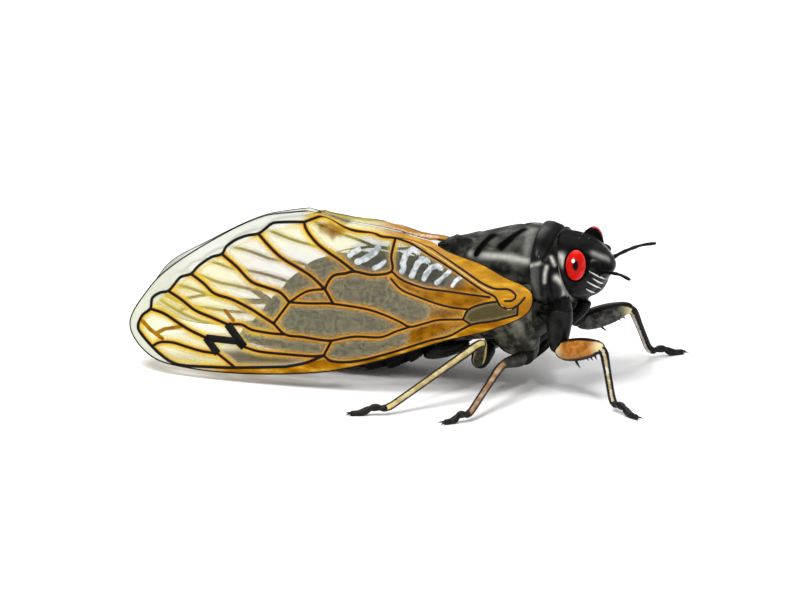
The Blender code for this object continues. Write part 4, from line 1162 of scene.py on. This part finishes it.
# Brown cells: how brown, the place along the wing where the brown begins, and their corners
WARM_CELLS = (
    (0.9, 30, (7.9, 0.7), (7.4, 2.4), (5.8, 1.35), (4.1, 0.1)),
    (1.0, 14, (12.5, 2.2), (11.5, 1.9), (9.9, 1.0), (7.9, 0.7), (3.8, -0.1), (4.5, -0.4), (6.0, -0.9),
     (8.0, -0.6), (9.9, 0.3), (11.5, 1.3)),
    (0.7, 10.6, (11.2, 0.3), (8.0, -0.7), (6.0, -0.9), (6.5, -1.8), (9.4, -1.8), (11.2, -1.6)),
    (1.0, 12.4, (12.8, -3.7), (12.8, -2.6), (11.0, -2.3), (8.8, -1.9), (6.3, -2.0), (5.8, -2.3),
     (8.0, -2.8), (10.8, -3.7)),
    (0.75, 30, (19.4, 7.5), (17.5, 7.3), (16.1, 6.5), (16.7, 5.9), (17.4, 5.6), (18.6, 6.4)),
)
BASAL_CELL = ((6.3, -1.7), (5.8, -1.0), (4.5, -0.6), (3.2, -0.5), (1.5, -1.0), (1.5, -1.8),
              (3.6, -2.1), (5.6, -2.3))
# Cells with a dull ground under the painted sheen of pale bands
BANDED_CELLS = (
    ((12.1, 2.9), (12.1, 4.0), (11.8, 5.0), (10.6, 4.75), (9.4, 3.9), (8.2, 3.1), (6.8, 2.0),
     (6.0, 1.2), (7.9, 0.95), (9.7, 1.3), (11.5, 2.1)),
    ((12.6, 3.0), (12.55, 4.0), (12.4, 5.1), (13.2, 5.3), (14.1, 5.7), (15.0, 5.7), (15.9, 4.6),
     (16.0, 4.0), (15.4, 3.2), (14.0, 2.8), (12.8, 3.0)),
)
# Pale bands of painted sheen: half a band's width, then its places
SHEEN_BANDS = (
    (0.25, (10.1, 4.15), (10.43, 4.42), (10.96, 4.24), (11.22, 3.84), (11.45, 3.26), (11.33, 3.0),
     (11.51, 2.58)),
    (0.25, (9.28, 3.36), (9.75, 3.52), (10.11, 3.21), (10.42, 2.68), (10.69, 2.19)),
    (0.23, (8.12, 2.65), (8.46, 2.88), (8.98, 2.75), (9.34, 2.39), (9.65, 1.86)),
    (0.20, (7.43, 2.3), (7.91, 1.91), (8.22, 1.64), (8.57, 1.45)),
    (0.17, (6.48, 1.73), (6.92, 1.5), (7.15, 1.09)),
    (0.24, (15.2, 4.71), (15.73, 4.53), (15.99, 4.3)),
    (0.27, (13.55, 4.8), (13.82, 4.4), (14.35, 4.1), (14.87, 3.84), (15.35, 3.7)),
    (0.20, (13.01, 3.58), (13.41, 3.23), (13.93, 3.05)),
)
BAND_BORDER = 0.32
# The orange hook between the double vein and the root
CLAVAL_HOOK = (
    (10.5, 5.3), (9.0, 4.5), (5.6, 1.9), (4.6, 1.15), (3.5, 0.6), (2.3, 0.45), (1.6, -0.1), (0.9, -0.3),
    (1.5, -0.9), (2.3, -1.2), (3.1, -0.8), (3.5, -0.1), (4.5, 0.5), (5.6, 1.3), (9.05, 3.81),
)
# Dark cells, and streaks of brown near the tip
SMOKY_CELLS = (
    ((27.3, -3.0), (25.6, -3.0), (23.9, -3.5), (21.5, -3.9), (19.2, -4.2), (21.5, -4.55), (25.9, -4.3)),
)
MOTTLES = (
    ((34.1, 0.0), (33.4, -0.8), (32.4, -1.6)), ((32.9, -1.1), (32.2, -0.8), (30.8, -0.7)),
    ((26.9, 0.4), (26.2, -0.5)),
)
WARM_FADE = 2.2
MOTTLE_WIDTH = 0.16
MOTTLE_AMOUNT = 1.4
CLEAR_OF_VEINS = 3.0
# Widths of the borders of painted cells
CRISP = 0.1
MARGIN_BORDER = 0.12
SOFT = 0.3
WARM_BORDER = 0.35
# Where along or across the wing a paint begins and is full
STRIP_EDGE = (-0.05, 0.12)
STRIP_ALONG = (31.0, 24.0)
LAP_EDGE = (-0.05, 0.15)
LAP_ALONG = (17.0, 9.5)
LAP_BRIGHT = 0.9
ROOT_ALONG = (1.7, 1.2)
MARGIN_ALONG = (19.0, 20.5)
BASAL_GAP = 0.3


def smooth_rise(value):
    """0 below 0, 1 above 1, and a smooth rise between them."""
    value = min(max(value, 0.0), 1.0)
    return value * value * (3 - 2 * value)


def wing_point(along, across, sink=0.0):
    """A place on the middle surface of the right forewing, or sunk below it."""
    fold = np.interp(along, FOLD_PLACES, FOLD_HEIGHTS)
    flat = min(across, fold)
    bulge = BULGE_HEIGHT * sin(pi * min(along / WING_LENGTH, 1)) * cos(pi / 2 * flat / BULGE_WIDTH)
    tuck = sum(
        depth * exp(-(((along - place) / reach) ** 2)) * smooth_rise((flat - foot) / TUCK_RISE)
        for place, reach, depth, foot in TUCKS
    )
    place = WING_ROOT + WING_ALONG * along + WING_UP * flat + WING_BULGE * (bulge - tuck)
    over = across - fold
    if over > 0:
        level = smooth_rise((along - FLAP_START) / FLAP_RUN)
        inward = (WING_UP * (1 - level) + Vector((0, 1, 0)) * level).normalized()
        place += inward * over
    place += WING_INWARD * sink
    place.y = min(place.y, -MIDLINE_CLEAR)
    return place


def wing_edges(edge):
    """The lower and the upper edge of a wing as tables of across by along."""
    outline = spline(edge, EDGE_STEP, closed=True)
    places = [p.x for p in outline]
    near, far = places.index(min(places)), places.index(max(places))
    turned = outline[near:] + outline[:near + 1]
    bend = (far - near) % len(outline)
    lower, upper = turned[:bend + 1], turned[bend:]
    return [(p.x, p.y) for p in lower], [(p.x, p.y) for p in upper]


def sheet(edge, sink, columns, rows):
    """A wing's skin from a grid drawn to its outline, and the places along and across it."""
    lower, upper = wing_edges(edge)
    low_table, high_table = np.array(sorted(lower)), np.array(sorted(upper))
    start, end = low_table[0, 0], low_table[-1, 0]
    shape = bmesh.new()
    bmesh.ops.create_grid(shape, x_segments=columns, y_segments=rows, size=1)
    for v in shape.verts:
        share, rise = (v.co.x + 1) / 2, (v.co.y + 1) / 2
        eased = (1 - cos(pi * share)) / 2
        along = start + (end - start) * (eased + EVEN_SPREAD * (share - eased))
        low = np.interp(along, low_table[:, 0], low_table[:, 1])
        high = np.interp(along, high_table[:, 0], high_table[:, 1])
        v.co = (along, low + (high - low) * rise, 0)
    bmesh.ops.remove_doubles(shape, verts=shape.verts, dist=WELD)
    places = np.array([v.co[:2] for v in shape.verts])
    for v in shape.verts:
        v.co = wing_point(v.co.x, v.co.y, sink)
    return shape, places


def from_lines(places, lines):
    """How far each place of a wing lies from the nearest of several lines."""
    return np.min([from_line(places, line) for line in lines], axis=0)


def within(places, corners, soft=0.25):
    """1 inside a patch of a wing and 0 outside, with a soft border."""
    x, y = places.T
    inside = np.zeros(len(places), bool)
    for (ax, ay), (bx, by) in zip(corners, [*corners[1:], corners[0]]):
        if ay != by:
            inside ^= ((ay > y) != (by > y)) & (x < ax + (y - ay) * (bx - ax) / (by - ay))
    gap = from_line(places, [*corners, corners[0]])
    return np.clip(0.5 + np.where(inside, gap, -gap) / (2 * soft), 0, 1)


def vein_paths(veins, step=0.25):
    """Each vein's thickness, and its points about one step apart."""
    return [(vein[0], spline([MEET.get(p, p) for p in vein[1:]], step)) for vein in veins]


def net(paths, sink):
    """Veins as flattened cords that stand out of the wing's outer face."""
    curve = bpy.data.curves.new("veins", "CURVE")
    curve.dimensions = "3D"
    curve.bevel_depth = 1.0
    curve.bevel_resolution = 3
    curve.use_fill_caps = True
    for thickness, path in paths:
        line = curve.splines.new("POLY")
        line.points.add(len(path) - 1)
        for point, p in zip(line.points, path):
            point.co = (p.x, p.y, 0, 1)
            thinned = ROOT_THINNING * (1 - smooth_rise((p.x - THIN_UP_TO) / THIN_FADE))
            point.radius = thickness * (1 - thinned)
    shape = applied(placed("veins", curve))
    bmesh.ops.remove_doubles(shape, verts=shape.verts, dist=FINE_WELD)
    for v in shape.verts:
        height = min(max(v.co.z * VEIN_SQUASH + VEIN_LIFT, -VEIN_ROOT), VEIN_TOP)
        v.co = wing_point(v.co.x, v.co.y, sink - height)
    return shape


def forewing_paints(places):
    """Where the forewing is clear, yellow, orange or brown, and where it has pale bands of painted sheen.
    """
    s, t = places.T
    veins = [[(p.x, p.y) for p in path] for _, path in vein_paths(VEINS)]
    basal = within(places, BASAL_CELL, CRISP)
    warm = np.zeros(len(places))
    for amount, start, *corners in WARM_CELLS:
        patch = within(places, corners, WARM_BORDER) * step_up(s, start, start - WARM_FADE)
        warm = np.maximum(warm, amount * patch)
    spots = [np.exp(-((from_line(places, line) / MOTTLE_WIDTH) ** 2)) for line in MOTTLES]
    warm = np.maximum(warm, MOTTLE_AMOUNT * np.maximum.reduce(spots)) * (1 - basal)
    strip = step_up(np.interp(s, *zip(*COSTAL_LINE)) - t, *STRIP_EDGE) * step_up(s, *STRIP_ALONG)
    lap = step_up(t - np.interp(s, *zip(*CLAVAL_LINE)), *LAP_EDGE) * step_up(s, *LAP_ALONG)
    root = step_up(s, *ROOT_ALONG)
    bright = np.maximum.reduce([strip, lap * LAP_BRIGHT, within(places, CLAVAL_HOOK, CRISP), root])
    outside = 1 - within(places, APICAL_AREA, MARGIN_BORDER)
    margin = outside * step_up(s, *MARGIN_ALONG) * (1 - strip)
    bands = [0.5 + (half - from_line(places, line)) / BAND_BORDER for half, *line in SHEEN_BANDS]
    return {
        "vein": from_lines(places, veins) + BASAL_GAP * basal, "warm": warm, "bright": bright,
        "margin": margin, "band": np.clip(np.maximum.reduce(bands), 0, 1),
        "banded": np.maximum.reduce([within(places, cell, SOFT) for cell in BANDED_CELLS]),
        "smoke": np.maximum.reduce([within(places, cell, SOFT) for cell in (*SMOKY_CELLS, BASAL_CELL)]),
    }


forewing_skin = membrane_finish("forewing skin", tone(204, 196, 106), 0.175)
hindwing_skin = membrane_finish("hindwing skin", tone(176, 170, 140), 0.02)
forewing_black = vein_finish("forewing veins", tone(5, 4, 3), tone(18, 10, 5))
hindwing_brown = vein_finish("hindwing veins", tone(110, 92, 58), tone(26, 22, 16), (-15.0, -10.0))


def skins(name, shape, finish, paints, node):
    """A pair of wing skins with their thickness."""
    for thing in pair(name, shape, finish, paints, node):
        wall = thing.modifiers.new("thickness", "SOLIDIFY")
        wall.thickness = SKIN_THICKNESS * MM
        wall.offset = 0


def rim(edge, thickness):
    """The thin cord round a wing."""
    line = spline(edge, EDGE_STEP, closed=True)
    return [(thickness, [*line, line[0]])]


def wings():
    """Forewings folded like a roof, with the smaller hindwings under them, and their veins."""
    shape, places = sheet(FOREWING_EDGE, 0.0, *SKIN_GRID)
    skins("forewing_skin", shape, forewing_skin, forewing_paints(places), "forewing")
    cords = vein_paths(VEINS) + rim(FOREWING_EDGE, RIM)
    pair("forewing_veins", net(cords, 0.0), forewing_black)
    glints = vein_paths([(GLINT, *line) for line in GLINT_LINES])
    pair("wing_glints", net(glints, GLINT_SINK), straw)
    shape, places = sheet(HINDWING_EDGE, HINDWING_SINK, *HINDWING_GRID)
    skins("hindwing_skin", shape, hindwing_skin, {"vein": np.full(len(places), CLEAR_OF_VEINS)}, "hindwing")
    cords = vein_paths(HINDWING_VEINS) + rim(HINDWING_EDGE, HINDWING_RIM)
    pair("hindwing_veins", net(cords, HINDWING_SINK), hindwing_brown)


# Legs: the corners of each path at hip, coxa, knee, ankle and toe, how far the root is drawn up into
# the chest, radii by share along each part, and thorns and spurs by share along their part and length
LEGS = {
    "front": {
        "corners": ((14.35, 2.95, 7.05), (14.35, 3.95, 3.75), (18.6, 5.7, 5.0), (19.8, 7.4, 0.55),
                    (22.25, 9.25, 0.16)),
        "root": 1.6,
        "coxa": ((0, 0.55), (0.2, 0.95), (0.42, 1.12), (0.65, 1.0), (0.85, 0.82), (1, 0.64)),
        "femur": ((0, 0.54), (0.2, 0.88), (0.45, 0.96), (0.7, 0.82), (0.88, 0.60), (1, 0.42)),
        "tibia": ((0, 0.37), (0.12, 0.38), (0.4, 0.33), (0.8, 0.32), (1, 0.33)),
        "thorns": ((0.34, 1.0), (0.60, 0.45), (0.70, 0.45), (0.80, 0.42)),
        "spurs": ((0.45, 0.35),),
    },
    "mid": {
        "corners": ((11.3, 2.1, 3.35), (11.3, 3.35, 2.75), (10.3, 7.0, 3.3), (8.7, 12.7, 0.50),
                    (6.9, 14.0, 0.16)),
        "root": 1.0,
        "coxa": ((0, 1.2), (0.35, 1.1), (0.6, 1.0), (0.85, 0.84), (1, 0.62)),
        "femur": ((0, 0.60), (0.2, 0.63), (0.5, 0.54), (0.8, 0.42), (1, 0.34)),
        "tibia": ((0, 0.36), (0.12, 0.37), (0.4, 0.32), (0.8, 0.31), (1, 0.32)),
        "thorns": (),
        "spurs": ((0.55, 0.4), (0.88, 0.4)),
    },
    "hind": {
        "corners": ((7.75, 1.8, 2.9), (7.45, 3.3, 1.95), (8.5, 6.0, 4.9), (1.7, 12.5, 0.50),
                    (-1.2, 13.3, 0.16)),
        "root": 0.6,
        "coxa": ((0, 0.9), (0.5, 0.86), (0.85, 0.72), (1, 0.55)),
        "femur": ((0, 0.46), (0.25, 0.55), (0.5, 0.53), (0.8, 0.42), (1, 0.35)),
        "tibia": ((0, 0.36), (0.12, 0.37), (0.4, 0.32), (0.8, 0.31), (1, 0.32)),
        "thorns": (),
        "spurs": ((0.35, 0.4), (0.6, 0.4), (0.9, 0.45)),
    },
}
TARSUS_RADII = ((0, 0.27), (0.16, 0.29), (0.22, 0.23), (0.27, 0.28), (0.42, 0.30), (0.48, 0.24),
                (0.53, 0.28), (0.8, 0.29), (1, 0.25))
BEND_REACH = 0.9
ARCH_PLACE = 0.35
ARCH_RISE = 0.38
PAD_LENGTH = 0.85
OVERLAP = 0.18
THIGH_FLATNESS = 0.85
THORN_DEPTH = 0.3
THORN_ROOT = 0.35
THORN_LEAN = 0.25
THORN_BEND = 0.15
THORN_RADIUS = 0.10
THORN_STOUTNESS = 0.07
SPUR_ROOT = 0.25
SPUR_LEAN = 0.9
SPUR_RADIUS = 0.08
SPUR_OUTWARD = Vector((0, -0.6, 0))
SPIKE_MIDDLE = 0.55
NEARLY_UPRIGHT = 0.9
LIMB_CAPS = 0.6
SPIKE_TAPER = ((0, 1), (0.3, 0.85), (0.7, 0.5), (1, 0.12))
CLAW_LENGTH = 0.70
CLAW_RADIUS = 0.11
CLAW_TURN = 28
CLAW_PLACE = (0.12, -0.25, 0.04)
CLAW_BEND = (0, 0, -0.1)
OUTER_FACE = Vector((0.2, -0.93, 0.3)).normalized()
FINISHES = {
    "femur_front": leg_finish(
        "orange thigh", ((144, 82, 18), (180, 118, 48), (16, 13, 10), (226, 214, 160)), (0.48, 0.68), 0.26,
        (98, 96, 90)),
    "femur_mid": leg_finish(
        "dark thigh", ((30, 28, 26), (62, 58, 52), (10, 9, 8), (150, 120, 80)), (0.45, 0.9), 0.1),
    "femur_hind": leg_finish(
        "yellow edged thigh", ((30, 29, 22), (58, 54, 36), (212, 188, 112), (222, 206, 140)),
        (0.45, 0.75), 0.1),
    "tibia_front": leg_finish(
        "grey shin", ((212, 208, 198), (176, 156, 116), (20, 17, 15), (214, 190, 120)), (0.89, 0.98), 0.1),
    "tibia_mid": leg_finish(
        "brown shin", ((136, 104, 74), (176, 150, 118), (24, 18, 14), (150, 96, 52)), (0.76, 0.92), 0.1),
    "tibia_hind": leg_finish(
        "tan shin", ((204, 190, 142), (176, 152, 96), (26, 20, 14), (222, 200, 130)), (0.72, 0.90), 0.1),
    "foot": leg_finish("black foot", ((16, 14, 13), (34, 30, 27), (10, 9, 9), (12, 11, 10))),
}


def spike(root, direction, length, radius, bend=(0, 0, 0)):
    """A thorn or claw, thick at its sunken root and drawn to a bent point."""
    direction = Vector(direction).normalized()
    root = Vector(root)
    middle = root + direction * length * SPIKE_MIDDLE
    path = spline((root, middle, root + (direction + Vector(bend)) * length), FINE_STEP)
    radii = [(share, radius * part) for share, part in SPIKE_TAPER]
    side = (0, 0, 1) if abs(direction.z) < NEARLY_UPRIGHT else (1, 0, 0)
    return swept(path, 0, path_length(path), radii, side, around=8, along=10)[0]


def limb(name, node, points, start, end, radii, side, finish, extras=(), flatness=1.0):
    """One part of a leg as a pair of pieces, with its stripe and its thorns."""
    shape, spots = swept(
        points, start, end, radii, side, around=22, along=44, flatness=flatness, caps=LIMB_CAPS
    )
    faces = []
    for share, out in spots:
        _, ahead = path_place(points, start + (end - start) * share)
        faces.append(out.dot(square_to(ahead, OUTER_FACE)))
    count = len(shape.verts)
    whole = joined([shape, *extras])
    spare = len(whole.verts) - count
    paints = {
        "along": [share for share, _ in spots] + [0.5] * spare, "face": faces + [0.0] * spare,
        "dark": [0.0] * count + [1.0] * spare,
    }
    return pair(name, whole, finish, paints, node)


def square_to(ahead, direction):
    """A direction turned square to the path ahead."""
    return (direction - ahead * direction.dot(ahead)).normalized()


def leg(name, sizes):
    """Coxa, femur, tibia and jointed tarsus with its claws, along one bent path."""
    hip, coxa_end, knee, ankle, toe = (Vector((x, -y, z)) for x, y, z in sizes["corners"])
    forward = Vector((toe.x - ankle.x, toe.y - ankle.y, 0)).normalized()
    arch = ankle.lerp(toe, ARCH_PLACE) + Vector((0, 0, ARCH_RISE))
    pad = toe - forward * PAD_LENGTH
    path, middles = rounded_path([hip, coxa_end, knee, ankle, arch, pad, toe], BEND_REACH)
    at_coxa, at_knee, at_ankle = middles[:3]
    raised = [hip + Vector((0, 0, sizes["root"])), *path]
    side = (knee - coxa_end).cross(ankle - knee).normalized()
    limb(f"hip_{name}", f"coxa_{name}", raised, 0, at_coxa + sizes["root"] + OVERLAP, sizes["coxa"], side,
         black)

    under = (ankle - knee).normalized()
    thorns = []
    for share, length in sizes["thorns"]:
        place, ahead = path_place(path, at_coxa + (at_knee - at_coxa) * share)
        down = square_to(ahead, under)
        radius = THORN_RADIUS + THORN_STOUTNESS * length
        thorns.append(spike(place + down * THORN_DEPTH, down + ahead * THORN_LEAN, length + THORN_ROOT,
                            radius, ahead * THORN_BEND))
    limb(f"thigh_{name}", f"femur_{name}", path, at_coxa - OVERLAP, at_knee + OVERLAP, sizes["femur"], side,
         FINISHES[f"femur_{name}"], thorns, THIGH_FLATNESS)

    out = (side + SPUR_OUTWARD).normalized()
    spurs = []
    for share, length in sizes["spurs"]:
        place, ahead = path_place(path, at_knee + (at_ankle - at_knee) * share)
        spurs.append(spike(place, out + ahead * SPUR_LEAN, length + SPUR_ROOT, SPUR_RADIUS))
    limb(f"shin_{name}", f"tibia_{name}", path, at_knee - OVERLAP, at_ankle + OVERLAP, sizes["tibia"], side,
         FINISHES[f"tibia_{name}"], spurs)

    shape, _ = swept(path, at_ankle - OVERLAP, path_length(path), TARSUS_RADII, side, around=20, along=64)
    across = forward.cross((0, 0, 1)).normalized()
    apart, ahead, lift = CLAW_PLACE
    claws = []
    for way in (1, -1):
        direction = Matrix.Rotation(radians(-way * CLAW_TURN), 3, "Z") @ forward
        root = toe + across * (way * apart) + direction * ahead + Vector((0, 0, lift))
        claws.append(spike(root, direction, CLAW_LENGTH, CLAW_RADIUS, CLAW_BEND))
    foot = joined([shape, *claws])
    for v in foot.verts:
        v.co.z = max(v.co.z, 0.0)
    count = len(foot.verts)
    paints = {"along": [0.5] * count, "face": [1.0] * count}
    pair(f"foot_{name}", foot, FINISHES["foot"], paints, f"tarsus_{name}")


# Floor, light and world
FLOOR_REACH = 3000
WORLD_LIGHT = 0.38
LIGHT_AIM = Vector((0, 0, 0.006))
# Lamps: name, place in metres, size and power
LAMPS = (
    ("key light", (-0.117, -0.17, 0.464), 0.22, 2.0),
    ("fill light", (0.40, -0.25, 0.22), 0.60, 0.6),
    ("glint light", (0.17, -0.27, 0.43), 0.04, 0.4),
    ("rim light", (-0.05, 0.35, 0.35), 0.30, 1.0),
)


def studio():
    """A pale floor under soft light."""
    shape = bmesh.new()
    bmesh.ops.create_grid(shape, x_segments=1, y_segments=1, size=FLOOR_REACH * MM)
    mesh = bpy.data.meshes.new("floor")
    shape.to_mesh(mesh)
    shape.free()
    paper = Finish("pale floor", Base_Color=tone(252, 252, 252), Roughness=0.9, Specular_IOR_Level=0.1)
    mesh.materials.append(paper.material)
    floor = placed("floor", mesh)

    world = bpy.data.worlds.new("studio")
    world.use_nodes = True
    world.node_tree.nodes["Background"].inputs["Color"].default_value = (1, 1, 1, 1)
    world.node_tree.nodes["Background"].inputs["Strength"].default_value = WORLD_LIGHT
    bpy.context.scene.world = world
    for name, place, size, power in LAMPS:
        lamp = bpy.data.lights.new(name, "AREA")
        lamp.size = size
        lamp.energy = power
        light = placed(name, lamp)
        light.location = place
        light.visible_camera = False
        light.rotation_euler = (Vector(place) - LIGHT_AIM).to_track_quat("Z", "Y").to_euler()


head()
eyes()
ocelli()
antennae()
rostrum()
pronotum()
mesonotum()
thorax()
abdomen()
opercula()
wings()
for leg_name, leg_sizes in LEGS.items():
    leg(leg_name, leg_sizes)
studio()
